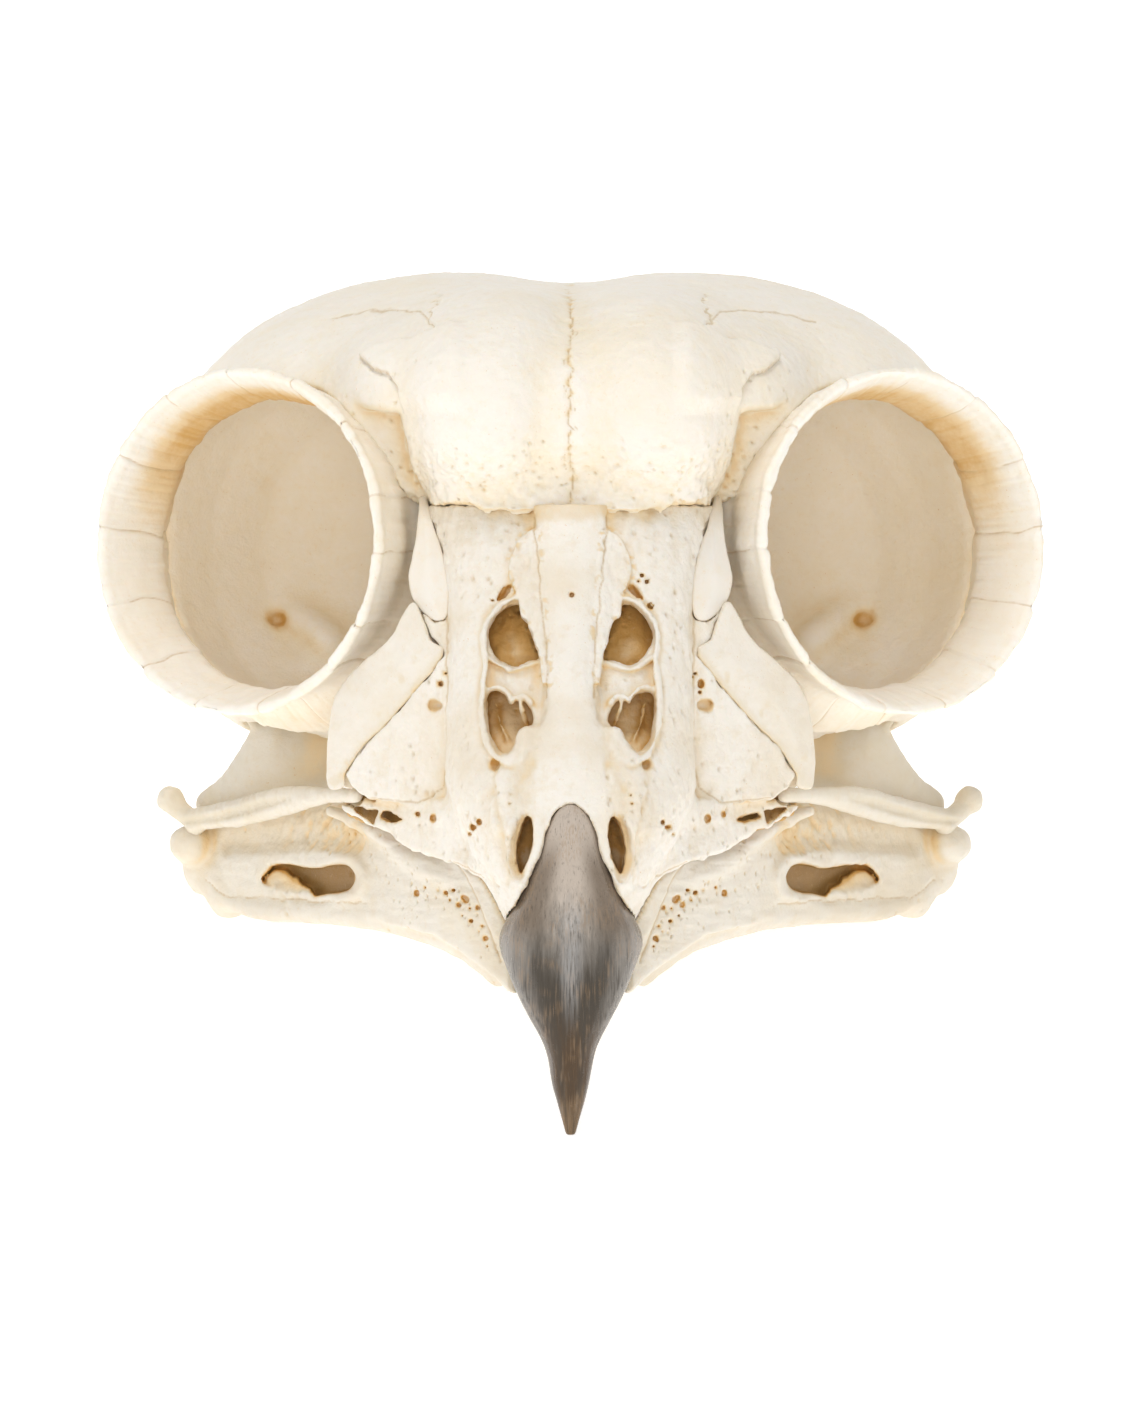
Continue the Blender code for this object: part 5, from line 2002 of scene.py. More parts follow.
@dataclass
class CheekBones:
    """The outer cheek plates and the smooth lacrimals beside the eye rings."""

    step: float = 0.17
    plate: Sequence[Spot] = ((10.19, 37.9), (14.06, 33.16), (16.55, 30.74), (18.06, 28.47), (18.1, 27.5),
                             (18.9, 27.2), (19.5, 27.5), (19.6, 29.4), (19.5, 31.2), (19.25, 33.0),
                             (18.9, 34.6), (18.1, 36.0), (16.8, 37.3), (15.1, 38.65), (14.0, 39.95),
                             (13.5, 41.1), (12.5, 42.3), (11.6, 40.4), (11.2, 39.2))
    lacrimal: Sequence[Spot] = ((11.7, 51.2), (12.1, 50.9), (12.2, 49.4), (12.35, 47.5), (12.75, 45.4),
                                (12.95, 44.2), (12.7, 42.7), (11.9, 41.5), (10.9, 40.75), (10.0, 40.9),
                                (9.7, 42.0), (9.8, 43.9), (10.1, 45.6), (10.55, 47.2), (11.1, 48.8))
    plate_finish: BoneFinish = BoneFinish("cheek_bone", light=(0.86, 0.80, 0.705),
                                          warm=(0.80, 0.70, 0.54), mottle=0.8)
    lacrimal_finish: BoneFinish = BoneFinish("lacrimal_bone", light=(0.88, 0.83, 0.75), mottle=0.45,
                                             grain_depth=0.04, roughness=0.42)

    def plate_clay(self) -> Clay:
        """The plate, swelling a little in its middle.

        Returns:
            The shaped block.
        """
        clay = Clay((9.5, 5.0, 26.0), (21.0, 20.0, 43.5), self.step)
        outline = rounded(self.plate, 3)

        def depth(x: Array, z: Array) -> Array:
            """The cheek's depth, swollen towards the plate's middle."""
            swell = np.clip(-outline_distance(outline, x, z), 0, 3.0) / 3.0
            return cheek_depth(x, z) - 0.5 * ease(0.0, 1.0, swell)

        clay.add(Plate(outline, depth, 1.9, 0.09, 0.55), 0.0)
        clay.cut(Turned(ORBIT_PROFILE), 0.2)
        return clay

    def lacrimal_clay(self) -> Clay:
        """The white drop-shaped swelling beside the face.

        Returns:
            The shaped block.
        """
        clay = Clay((8.5, 6.0, 39.0), (14.5, 18.0, 51.0), self.step)
        outline = rounded(self.lacrimal, 3)

        def depth(x: Array, z: Array) -> Array:
            """The lacrimal's depth, swollen towards the flap's middle."""
            swell = np.clip(-outline_distance(outline, x, z), 0, 1.4) / 1.4
            return lacrimal_depth(x, z) - 0.45 * ease(0.0, 1.0, swell)

        clay.add(Plate(outline, depth, 2.4, 0.14, 0.5), 0.0)
        clay.cut(Turned(ORBIT_PROFILE), 0.2)
        return clay

    def relief(self, points: Array, normals: Array) -> Relief:
        """A quiet skin.

        Args:
            points: the skin's points.
            normals: their normals, not used.

        Returns:
            The relief.
        """
        skin = Relief.flat(len(points))
        side, z = np.abs(points[:, 0]), points[:, 2]
        skin.rise += 0.06 * waves(points, 2.0, 131, 2) + 0.035 * waves(points, 0.6, 133, 2)
        border = line_distance(self.plate[:4], side, z) + 0.10 * np.maximum(waves(points, 0.8, 134), 0)
        skin.groove(border, 0.06, 0.0)
        skin.stain_and_shade += 0.25 * ease(0.8, 0.1, border)
        skin.stain_and_shade += 0.22 * ease(0.4, 0.9, waves(points, 0.9, 136, 2)) * ease(3.0, 0.8, border)
        skin.porous += 0.25 * ease(0.1, 0.6, waves(points, 2.4, 135))
        return skin

    def smooth_relief(self, points: Array, normals: Array) -> Relief:
        """An almost polished skin, with painted shade towards the top, under the forehead.

        Args:
            points: the skin's points.
            normals: their normals, not used.

        Returns:
            The relief.
        """
        skin = Relief.flat(len(points))
        skin.rise += 0.05 * waves(points, 1.6, 137, 2)
        # Painted shade towards the top, where the forehead hangs over it, and a little darker along the inner
        # edge.
        skin.stain_and_shade += 0.16 * ease(46.0, 50.0, points[:, 2]) + 0.05 * ease(11.0, 10.2, np.abs(points[:, 0]))
        return skin

    def build(self) -> None:
        """Make the pieces of both sides."""
        plate_finish, lacrimal_finish = self.plate_finish.material(), self.lacrimal_finish.material()
        for side in ("left", "right"):
            for clay, kind, node, finish, relief in (
                    (self.plate_clay(), "cheek_plate", "cheek_plate_", plate_finish, self.relief),
                    (self.lacrimal_clay(), "lacrimal_bone", "lacrimal_", lacrimal_finish,
                     self.smooth_relief)):
                if side == "right":
                    turn_over(clay)
                Piece(f"{kind}_{side}", [node + side], Slot.FACE.value, finish).from_clay(clay, relief, 1)


def turn_over(clay: Clay) -> None:
    """Mirror a block that lies on the left to the right."""
    clay.field = clay.field[::-1].copy()
    clay.axes[0] = -clay.axes[0][::-1]


def outwards(points: Array, faces: Array) -> Array:
    """The quads turned so that all of them face out of the closed form they make.

    Args:
        points: the skin's points.
        faces: the corners of each face.

    Returns:
        The faces, with their normals outwards.
    """
    corners = points[faces]
    first = np.einsum("ij,ij->i", corners[:, 0], np.cross(corners[:, 1], corners[:, 2]))
    second = np.einsum("ij,ij->i", corners[:, 0], np.cross(corners[:, 2], corners[:, 3]))
    return faces if (first + second).sum() > 0 else faces[:, ::-1]


@dataclass
class EyeRings:
    """The bony tubes around both eyes, each of fourteen overlapping plates."""

    turns: int = 660
    section: int = 140
    mean_radius: float = 13.0
    seams: Sequence[float] = (16, 42, 68, 95, 122, 150, 175.5, 202, 228, 254, 280, 313.5, 331.3, 356.6)
    wall: Sequence[Spot] = ((0.0, 13.32), (0.6, 13.05), (1.2, 12.8), (3.5, 12.1), (5.9, 11.8), (8.0, 13.15),
                            (10.3, 14.4), (10.62, 14.8), (10.3, 15.1), (8.0, 13.9), (5.9, 12.6), (3.5, 12.9),
                            (1.2, 13.62), (0.15, 14.05), (-0.28, 13.75))
    finish: BoneFinish = BoneFinish("ring_bone", light=(0.96, 0.915, 0.835), warm=(0.94, 0.85, 0.70),
                                    mottle=0.5, grain_depth=0.06)

    def track(self) -> Array:
        """Evenly spaced points round the wall's closed section, as (depth, radius) rows.

        Returns:
            The (depth, radius) points.
        """
        fine = np.array(rounded(self.wall, 16))
        fine = np.vstack([fine, fine[:1]])
        along = np.concatenate([[0], np.cumsum(np.linalg.norm(np.diff(fine, axis=0), axis=1))])
        even = np.linspace(0, along[-1], self.section, endpoint=False)
        return np.stack([np.interp(even, along, fine[:, column]) for column in (0, 1)], axis=1)

    def build_ring(self, name: str, node: str, side: int, finish: bpy.types.Material) -> None:
        """Make one ring.

        Args:
            name: the piece's name.
            node: the solid that it stands for.
            side: 1 for the left, -1 for the right.
            finish: its material.
        """
        track = self.track()
        angle = np.arange(self.turns) / self.turns * math.tau
        depth, radius = (np.tile(track[:, column], self.turns) for column in (0, 1))
        turn = np.repeat(angle, self.section)
        seed = 200 if side > 0 else 240

        middle = np.interp(depth, [-0.3, 1.2, 3.5, 5.9, 8.0, 10.6], [13.7, 13.2, 12.5, 12.2, 13.55, 14.8])
        inner = radius < middle
        mean = self.mean_radius
        around = np.stack([np.cos(turn) * mean, np.sin(turn) * mean, depth], axis=1)
        level = around * (1, 1, 0)
        bend = 0.35 * waves(around, (9.0, 9.0, 3.0), seed + 5, 2)
        edges = np.radians(np.array(self.seams))
        apart = np.stack([(turn + bend / mean - edge + math.pi) % math.tau - math.pi for edge in edges])
        nearest = np.abs(apart).argmin(axis=0)
        gap = np.take_along_axis(apart, nearest[None], axis=0)[0] * mean
        lap = np.array([1, 1, -1, 1, 1, -1, -1, 1, 1, -1, 1, -1, 1, 1])[nearest]

        streak = waves(around, (0.34, 0.34, 5.0), seed, 2)
        broad = waves(around, (1.6, 1.6, 7.0), seed + 9, 2)
        facing = np.where(inner, -1.0, 1.0)
        step = 0.07 * lap * np.tanh(gap / 0.22) * np.exp(-np.abs(gap) / 2.6)
        rise = 0.045 * streak + 0.09 * broad + 0.05 * waves(around, 1.2, seed + 11, 2)
        groove = 0.11 * np.exp(-(gap / 0.12) ** 2)
        radius = radius + step * np.where(inner, 0.9, 1.0) + facing * (rise - groove)

        rim = np.exp(-np.maximum(depth + 0.3, 0) / 1.1)
        notch = 0.22 * np.exp(-(np.abs(gap) / 0.26) ** 2) * ease(-0.6, 0.4, waves(level, 3.0, seed + 13))
        ragged = 0.08 * waves(level, 2.6, seed + 15, 3) + 0.05 * waves(level, 0.5, seed + 17)
        bowed = 0.03 * np.cos(np.clip(gap / 2.9, -1, 1) * math.pi)
        depth = depth + rim * (notch + ragged + bowed - 0.1)
        root = np.exp(-np.maximum(10.6 - depth, 0) / 1.4)
        depth = depth + root * (0.22 * waves(level, 3.5, seed + 19, 2)
                                - 0.3 * np.exp(-(gap / 0.5) ** 2))

        outer_face = np.where(inner, 0.0, 1.0) * np.exp(-((depth - 3.9) / 2.6) ** 2)
        radius = radius + 0.75 * outer_face * np.clip(np.cos(turn - 0.35), 0, 1) ** 1.5

        axis = np.array(eye_axis())
        local = np.stack([radius * np.cos(turn), radius * np.sin(turn), depth], axis=1)
        points = local @ axis[:3, :3].T + axis[:3, 3]
        points[:, 0] *= side
        row = np.arange(self.turns)[:, None] * self.section
        column = np.arange(self.section)[None, :]
        after_row = (row + self.section) % (self.turns * self.section)
        after = (column + 1) % self.section
        faces = np.stack([row + column, row + after, after_row + after, after_row + column],
                         axis=2).reshape(-1, 4)
        mesh = build_mesh(name, points, outwards(points, faces))

        # Painted shade inside the ring, strongest under its top and deeper down, and on its outer face deeper
        # down; it goes to the finish as the hollow tint.
        high = ease(-0.2, 0.7, np.sin(turn))
        shade = np.where(inner, 0.05 + 0.78 * high * ease(0.3, 3.6, depth) + 0.12 * ease(3.0, 9.0, depth),
                         0.16 + 0.12 * ease(3.0, 9.0, depth))
        shade = shade + 0.10 * waves(around, 4.0, seed + 21, 2) + 0.08 * np.maximum(-streak, 0)
        seam = np.abs(gap) + 0.02 + 2.0 * ease(0.2, 0.9, waves(around, (2.0, 2.0, 3.0), seed + 23))
        tints = {"hollow": np.clip(shade, 0, 1), "seam": seam, "porous": 0.15 * ease(0.0, 0.8, broad)}
        Piece(name, [node], Slot.RING.value, finish).publish(mesh, tints)

    def build(self) -> None:
        """Make both rings."""
        finish = self.finish.material()
        self.build_ring("eye_ring_left", "sclerotic_ring_left", 1, finish)
        self.build_ring("eye_ring_right", "sclerotic_ring_right", -1, finish)


@dataclass
class SmallBones:
    """A bone of each side that is shaped in its own small block of clay."""

    step: float = 0.17
    finish: BoneFinish = BoneFinish("jaw_bone", light=(0.80, 0.735, 0.62), warm=(0.75, 0.65, 0.48),
                                    mottle=0.8)

    def shape(self) -> Clay:
        """The left bone."""
        raise NotImplementedError

    def relief(self, points: Array, normals: Array) -> Relief:
        """A dry, faintly grained skin.

        Args:
            points: the skin's points.
            normals: their normals, not used.

        Returns:
            The relief.
        """
        skin = Relief.flat(len(points))
        skin.rise += 0.05 * waves(points, 1.6, 141, 3)
        skin.porous += 0.2 * ease(0.0, 0.6, waves(points, 2.4, 143, 2))
        return skin

    def build_pair(self, name: str, node: str, finish: bpy.types.Material) -> None:
        """Make the bones of both sides.

        Args:
            name: their name, without the side.
            node: the solids that they stand for, without the side.
            finish: their material.
        """
        for side in ("left", "right"):
            clay = self.shape()
            if side == "right":
                turn_over(clay)
            piece = Piece(f"{name}_{side}", [f"{node}_{side}"], Slot.JAW.value, finish)
            piece.from_clay(clay, self.relief, 1)


@dataclass
class JugalBars(SmallBones):
    """The slender cheek bars, two ridges with a groove between them and a knob at the jaw joint."""

    step: float = 0.14
    path: Sequence[Point] = ((17.2, 15.0, 26.75), (19.9, 20.4, 26.65), (22.2, 25.2, 26.35),
                             (24.3, 29.6, 25.93), (26.9, 34.4, 25.24), (29.7, 38.8, 24.74),
                             (31.4, 41.4, 24.65), (33.0, 43.2, 26.0))
    sizes: Sequence[Spot] = ((0.55, 0.60), (0.6, 0.66), (0.75, 1.08), (0.8, 1.25), (0.8, 1.18), (0.8, 0.98),
                             (0.8, 0.85), (0.85, 0.85))

    def shape(self) -> Clay:
        """The left bar.

        Returns:
            The shaped block.
        """
        clay = Clay((15.5, 12.0, 22.5), (36.5, 47.5, 30.0), self.step)
        clay.add(Bar(self.path, self.sizes, steps=6), 0.0)
        clay.add(Lump((33.1, 43.4, 26.15), (1.15, 1.4, 1.15), 2.0), 0.5)
        clay.add(Lump((30.9, 41.4, 24.1), (0.8, 1.6, 0.9), 2.0), 0.6)
        outer = [(x + 0.75, y - 0.44, z + 0.10 - 0.04 * (x - 22)) for x, y, z in self.path[2:7]]
        clay.cut(Bar(outer, ((0.12, 0.12), (0.30, 0.32), (0.34, 0.34), (0.32, 0.28), (0.1, 0.1)),
                     steps=6), 0.4)
        return clay

    def relief(self, points: Array, normals: Array) -> Relief:
        """Fine lines along the bar.

        Args:
            points: the skin's points.
            normals: their normals.

        Returns:
            The relief.
        """
        skin = super().relief(points, normals)
        along = points @ np.array([0.495, 0.869, 0.0])
        across = np.stack([along / 5.0, points[:, 2] / 0.4,
                           (points[:, 0] * 0.869 - points[:, 1] * 0.495) / 0.4],
                          axis=1)
        skin.rise += 0.045 * waves(across, 1.0, 151, 2)
        return skin


@dataclass
class Quadrates(SmallBones):
    """The blocks that carry the jaw joints, each with a thin wing that sweeps out to its joint."""

    step: float = 0.18
    wing: Sequence[Spot] = ((19.0, 36.0), (25.0, 36.0), (27.9, 35.2), (27.0, 33.7), (25.7, 32.3),
                            (26.4, 30.5), (27.7, 28.2), (28.8, 26.9), (30.4, 25.9), (29.5, 24.9),
                            (24.0, 25.2), (19.0, 26.5))

    def shape(self) -> Clay:
        """The left block.

        Returns:
            The shaped block.
        """
        clay = Clay((15.0, 34.0, 21.5), (33.5, 49.5, 41.0), self.step)
        clay.add(QUADRATE_SHAFT, 0.0)
        clay.add(Lump((27.6, 44.4, 25.9), (3.2, 2.4, 1.5)), 1.0)
        clay.add(Lump((20.6, 41.6, 29.8), (2.2, 2.0, 2.0)), 1.0)
        clay.add(Plate(rounded(self.wing, 3), lambda x, z: 38.2 + 0.42 * (x - 20.0) + 0.05 * (z - 30.0),
                       2.6, 0.6, 0.4),
                 1.0)
        clay.add(Bar(((27.2, 40.4, 34.0), (26.2, 39.8, 32.7), (25.5, 39.8, 31.6)),
                     ((0.4, 0.4), (0.5, 0.5), (0.3, 0.3))),
                 0.5)
        clay.cut(Lump((22.6, 36.9, 31.2), (2.0, 1.7, 3.2), 2.0), 1.0)
        return clay

    def relief(self, points: Array, normals: Array) -> Relief:
        """A smooth skin, with painted shade where the eye ring hangs over it.

        Args:
            points: the skin's points.
            normals: their normals.

        Returns:
            The relief.
        """
        skin = super().relief(points, normals)
        side, high = np.abs(points[:, 0]), points[:, 2] + 0.8 * waves(points, 3.0, 145, 2)
        skin.rise *= 0.6
        # Painted shade below the eye ring and towards the inner side.
        skin.stain_and_shade += 0.30 * ease(30.0, 34.5, high) + 0.42 * ease(24.5, 20.5, side) * ease(26.0, 29.0, high)
        return skin


@dataclass
class Palatines(SmallBones):
    """The long plates of the palate."""

    step: float = 0.2

    def shape(self) -> Clay:
        """The left plate, hollowed below.

        Returns:
            The shaped block.
        """
        clay = Clay((0.5, 18.0, 22.0), (10.5, 45.0, 28.5), self.step)
        clay.add(PALATINE, 0.0)
        clay.add(Bar(((8.0, 24.0, 25.0), (8.4, 30.0, 24.6), (8.2, 36.5, 24.8)),
                     ((0.4, 0.6), (0.4, 0.9), (0.4, 0.6))),
                 0.6)
        clay.cut(Lump((5.9, 30.0, 23.7), (1.9, 7.5, 1.0), 2.0), 0.4)
        return clay


@dataclass
class Pterygoids(SmallBones):
    """The rods from the palate to the jaw joints."""

    step: float = 0.18

    def shape(self) -> Clay:
        """The left rod, pinched in its middle.

        Returns:
            The shaped block.
        """
        clay = Clay((4.0, 39.0, 23.5), (20.5, 45.5, 31.0), self.step)
        clay.add(Bar(((6.4, 42.6, 25.8), (11.0, 42.8, 26.5), (18.2, 42.2, 28.2)),
                     ((0.9, 1.1), (0.72, 0.8), (1.0, 1.1)),
                     steps=6), 0.0)
        clay.add(Lump((6.9, 42.7, 25.9), (1.0, 1.1, 1.3), 2.0), 0.5)
        return clay


@dataclass
class Mandible:
    """The lower jaw: joined front, both branches with a blind recess each, and the joint processes."""

    step: float = 0.2
    recess: Sequence[Spot] = ((25.15, 19.41), (24.94, 20.26), (24.08, 20.95), (22.37, 20.86), (20.67, 20.69),
                              (19.38, 20.95), (18.42, 21.01), (17.89, 20.86), (17.46, 20.26), (17.67, 19.3),
                              (18.53, 18.81), (19.6, 18.66), (20.88, 18.4), (21.52, 18.87), (22.8, 18.55))
    facet: Sequence[Spot] = ((9.22, 21.36), (7.45, 20.63), (5.79, 18.76), (4.64, 17.3), (5.58, 14.8),
                             (6.62, 16.47), (7.66, 18.76), (8.7, 20.84))
    cells: Sequence[Spot] = ((10.52, 19.2), (9.9, 18.99), (9.58, 18.46), (8.91, 18.05), (9.27, 19.2),
                             (8.54, 17.21), (7.87, 16.79), (7.95, 17.73), (8.33, 18.46), (7.38, 17.84),
                             (7.24, 15.91), (6.76, 15.43), (6.97, 16.37), (6.55, 14.8), (8.54, 18.67),
                             (11.6, 19.4), (12.3, 18.9))
    root_outline: Sequence[Spot] = ((4.6, 17.4), (4.3, 11.0), (4.9, 11.2), (6.0, 12.3), (7.66, 13.6),
                                    (10.9, 15.6), (14.3, 16.2), (16.5, 16.8), (16.5, 25.0), (14.8, 23.9),
                                    (12.7, 22.6), (11.2, 22.1), (9.2, 21.6), (7.6, 21.0), (6.0, 19.4))
    finish: BoneFinish = BoneFinish("mandible_bone", light=(0.82, 0.76, 0.655), warm=(0.77, 0.665, 0.50),
                                    mottle=0.85)

    def branch_front(self, x: Array, z: Array) -> Array:
        """Depth of a branch's outer side at a place seen from the front."""
        track = spline(RAMUS_BAR.points, 6)
        return np.interp(np.abs(x) - 1.05, track[:, 0], track[:, 1]) - 0.6 + 0.0 * z

    def form(self, clay: Clay) -> None:
        """Join the front, the branch and the joint processes.

        Args:
            clay: the block to shape.
        """
        clay.add(Stack(LOWER_BILL, 2.3), 0.0)
        clay.add(RAMUS_BAR, 1.2)
        above = [(3.0, 22.3), (9.2, 21.7), (11.2, 22.3), (12.7, 22.9), (14.8, 24.3), (16.0, 25.1),
                 (17.2, 26.0), (18.5, 26.6), (21.0, 26.6), (21.0, 30.0), (3.0, 30.0)]
        clay.cut(Plate(above, lambda x, z: self.branch_front(x, z) - 3.0, 4.6, 0.1, 1.6), 0.5)
        clay.add(Bar(((16.6, 23.0, 24.6), (19.5, 28.0, 25.4), (24.5, 35.6, 24.7), (28.6, 42.0, 23.4)),
                     ((0.7, 0.8), (0.7, 0.9), (0.7, 0.8), (0.8, 0.8))), 0.8)
        clay.add(Bar(((9.0, 11.4, 14.9), (14.3, 19.2, 16.5), (20.0, 28.4, 17.0), (25.6, 37.4, 17.2),
                      (29.6, 43.2, 19.0)),
                     ((1.1, 0.8), (1.15, 0.85), (1.1, 0.85), (1.1, 0.85), (1.0, 0.9))), 0.8)
        clay.add(Lump((31.2, 44.0, 22.4), (2.0, 2.6, 1.6)), 0.6)
        clay.add(Lump((28.6, 45.6, 21.3), (3.0, 2.2, 2.2)), 0.6)
        clay.add(Lump((28.2, 43.4, 19.2), (2.0, 3.6, 3.0)), 0.6)
        clay.add(Lump((25.4, 45.2, 21.6), (2.0, 1.2, 1.4)), 0.9)
        clay.add(Lump((30.9, 42.4, 22.6), (1.3, 2.0, 1.5), 2.0), 0.8)

    def root_front(self, x: Array, z: Array) -> Array:
        """Depth of the smooth root beside the bill, which comes forward of the branch."""
        return np.interp(np.abs(x), (5.0, 6.2, 9.0, 12.0, 14.0, 16.5),
                         (3.4, 4.3, 7.4, 12.0, 15.4, 20.2)) + 0.0 * z

    def root(self, clay: Clay) -> None:
        """Add the root of each branch beside the bill, clear of both sheaths and of the face.

        Args:
            clay: the block to shape.
        """
        rooms = (Stack(LOWER_BILL, 2.3, grow=0.3), Stack(FACE, FACE_POWER, grow=0.2),
                 Stack(SHEATH, 2.1, grow=0.3))
        clay.add(Carved(Plate(self.root_outline, self.root_front, 5.0, 0.2, 1.2), rooms), 0.4)
        ridge = [(x, min(float(self.branch_front(x, z)), float(self.root_front(x, z))) + 0.55, z) for x, z in
                 ((9.6, 20.2), (11.0, 20.8), (13.2, 22.0), (14.85, 23.35), (17.3, 24.65), (19.4, 25.4))]
        clay.add(Bar(ridge, ((0.5, 0.7), (0.75, 1.0), (0.8, 0.85), (0.8, 0.75), (0.7, 0.65), (0.4, 0.4)),
                     rise=(0.0, 0.2, 1.0)), 0.8)

    def carve(self, clay: Clay) -> None:
        """Sink the hollow above, the recess with its rim and flake, and the porous cells.

        Args:
            clay: the block to shape.
        """
        upper = [(x + 1.2, y - 0.75, z)
                 for x, y, z in ((16.5, 22.4, 23.1), (21.5, 30.5, 23.4), (27.5, 40.0, 22.7))]
        clay.cut(Bar(upper, ((0.7, 0.7), (0.8, 1.1), (0.7, 0.9))), 0.7)
        outline = rounded(self.recess, 3)

        def height(x: Array, y: Array, z: Array) -> Array:
            """How far the rim round the recess rises.

            Args:
                x: places across.
                y: places in depth.
                z: places in height.

            Returns:
                The rise, in millimetres.
            """
            near = ease(2.4, 1.2, np.abs(y - self.branch_front(x, z)))
            border = outline_distance(outline, x[:, 0], z[0])[:, None, :]
            inner_end = ease(20.5, 18.5, x)
            return (near * (0.02 + 0.28 * inner_end)
                    * np.exp(-((border - 0.6) / 0.5) ** 2)).astype(np.float32)

        clay.emboss((16.0, 18.0, 17.0), (26.5, 42.0, 22.6), height)
        clay.cut(Plate(outline, lambda x, z: self.branch_front(x, z) - 2.0, 4.9, 0.2, 1.6), 0.25)
        clay.add(Plate([(16.5, 17.5), (26.0, 17.5), (26.0, 22.0), (16.5, 22.0)],
                       lambda x, z: self.branch_front(x, z) + 3.3, 1.6, 0.2, 1.6), 0.3)
        clay.add(Plate([(25.2, 18.9), (25.0, 19.9), (24.2, 20.5), (23.2, 20.4), (22.6, 19.9),
                        (22.3, 20.0), (21.9, 19.4), (21.2, 19.1), (20.9, 18.5), (21.6, 18.3), (23.6, 18.4)],
                       lambda x, z: self.branch_front(x, z) + 0.5 + 0.5 * (z - 18.6), 2.4, 0.2, 1.6), 0.2)
        for place, (x, z) in enumerate(self.cells):
            front = clay.front_depth(x, z, -8.0)
            radius = 0.12 + 0.20 * ((place * 0.618) % 1.0) ** 1.5
            clay.cut(Lump((x, front, z), (radius, 0.35 + radius, radius * 0.85), 2.0), 0.12)

    def ends(self, clay: Clay) -> None:
        """Cut the front where the horn begins, and along the line on which the bill closes.

        Args:
            clay: the block to shape.
        """
        point, normal = np.array(BILL_PARTING[0]), np.array(BILL_PARTING[1])
        normal = normal / np.linalg.norm(normal)
        clay.cut(Half(tuple(point + normal * JOINT_GAP), tuple(normal)), 0.15)
        clay.cut(Half((0.0, HORN_END_Y + JOINT_GAP, 0.0), (0.0, 1.0, 0.0)), 0.12)

    def relief(self, points: Array, normals: Array) -> Relief:
        """Grain along the branches, sutures and pores, with painted shade in the blind recess.

        Args:
            points: the skin's points.
            normals: their normals.

        Returns:
            The relief.
        """
        x, y, z = points.T
        side = np.abs(x)
        skin = Relief.flat(len(points))
        along = side * 0.5 + y * 0.866
        fibres = np.stack([along / 3.0, z / 0.5, (side * 0.866 - y * 0.5) / 0.6], axis=1)
        skin.rise += 0.05 * waves(fibres, 1.0, 161, 2) + 0.05 * waves(points, 2.0, 163, 2)
        front = ease(0.2, -0.2, normals[:, 1])
        upper = ease(21.6, 22.6, z) * ease(15.0, 18.0, side) * front
        tangle = waves(np.stack([along / 0.9 + z / 2.0, z / 0.9, z * 0], axis=1), 1.0, 165, 3)
        knot = upper * ease(24.5, 21.0, side)
        skin.rise += (0.04 * upper + 0.10 * knot) * tangle
        skin.stain_and_shade += 0.24 * knot * ease(0.1, -0.7, tangle)
        outline = rounded(self.recess, 3)
        border = outline_distance(outline, side, z)
        # Painted shade inside the blind recess, darkest at its inner end.
        sunk = ease(0.3, 1.4, y - self.branch_front(x, z)) * ease(0.2, -0.1, border)
        skin.stain_and_shade += 1.25 * sunk * ease(24.5, 21.5, side) + 0.25 * sunk
        crumbly = ease(0.9, 0.0, np.abs(border - 0.2)) * ease(20.5, 22.5, side)
        skin.rise += 0.14 * waves(points, 0.7, 168, 2) * crumbly
        skin.stain_and_shade += 0.14 * upper
        skin.rise += 0.18 * ease(0.15, -0.35, outline_distance(self.facet, side, z)) * front

        wobble = 0.18 * waves(points, 1.0, 167, 2)
        line = line_distance([(30.2, 19.6), (28.5, 18.2), (25.4, 18.1), (21.2, 18.0), (16.5, 17.9)], side,
                             z + wobble)
        skin.groove(line, 0.16, 0.10, front)
        crease = line_distance([(9.2, 21.6), (8.2, 20.3), (7.45, 18.6), (6.9, 17.2), (6.34, 15.6),
                                (5.6, 13.6)],
                               side + 0.4 * wobble, z)
        skin.groove(crease, 0.13, 0.12, front)
        honeycomb = line_distance([(11.0, 19.0), (9.6, 18.3), (8.3, 17.4), (7.6, 16.2), (6.9, 14.9)], side, z)
        below = line_distance([(20.0, 23.2), (15.0, 21.4), (12.0, 18.6)], side, z)
        share = front * (0.95 * ease(1.3, 0.5, honeycomb) + 0.5 * ease(2.4, 0.6, below)
                         + 0.25 * ease(0.0, 0.6, waves(points, 3.0, 169, 2)))
        share = np.clip(share, 0, 1) * ease(0.0, 0.4, outline_distance(self.facet, side, z))
        near = share > 0.04
        pits = np.zeros(len(points))
        pits[near] = pores(points[near], 0.62, share[near], 171)
        skin.rise -= (0.16 + 0.12 * ease(1.3, 0.5, honeycomb)) * pits
        skin.stain_and_shade += 0.25 * pits
        skin.porous = np.clip(share + 0.4 * pits, 0, 1)
        return skin

    def build(self) -> None:
        """Make the piece."""
        clay = Clay((0.0, 1.0, 6.0), (34.5, 50.0, 28.0), self.step)
        self.form(clay)
        self.ends(clay)
        self.root(clay)
        self.carve(clay)
        clay.unfold()
        clay.cut(floor_plane(), 0.0)
        piece = Piece("lower_jaw_bone", ["mandible"], Slot.JAW.value, self.finish.material())
        piece.from_clay(clay, self.relief, 1,
                        lambda at: (np.abs(at[:, 0]) < 15.0) & (at[:, 2] > 13.0) & (at[:, 1] < 20.0))


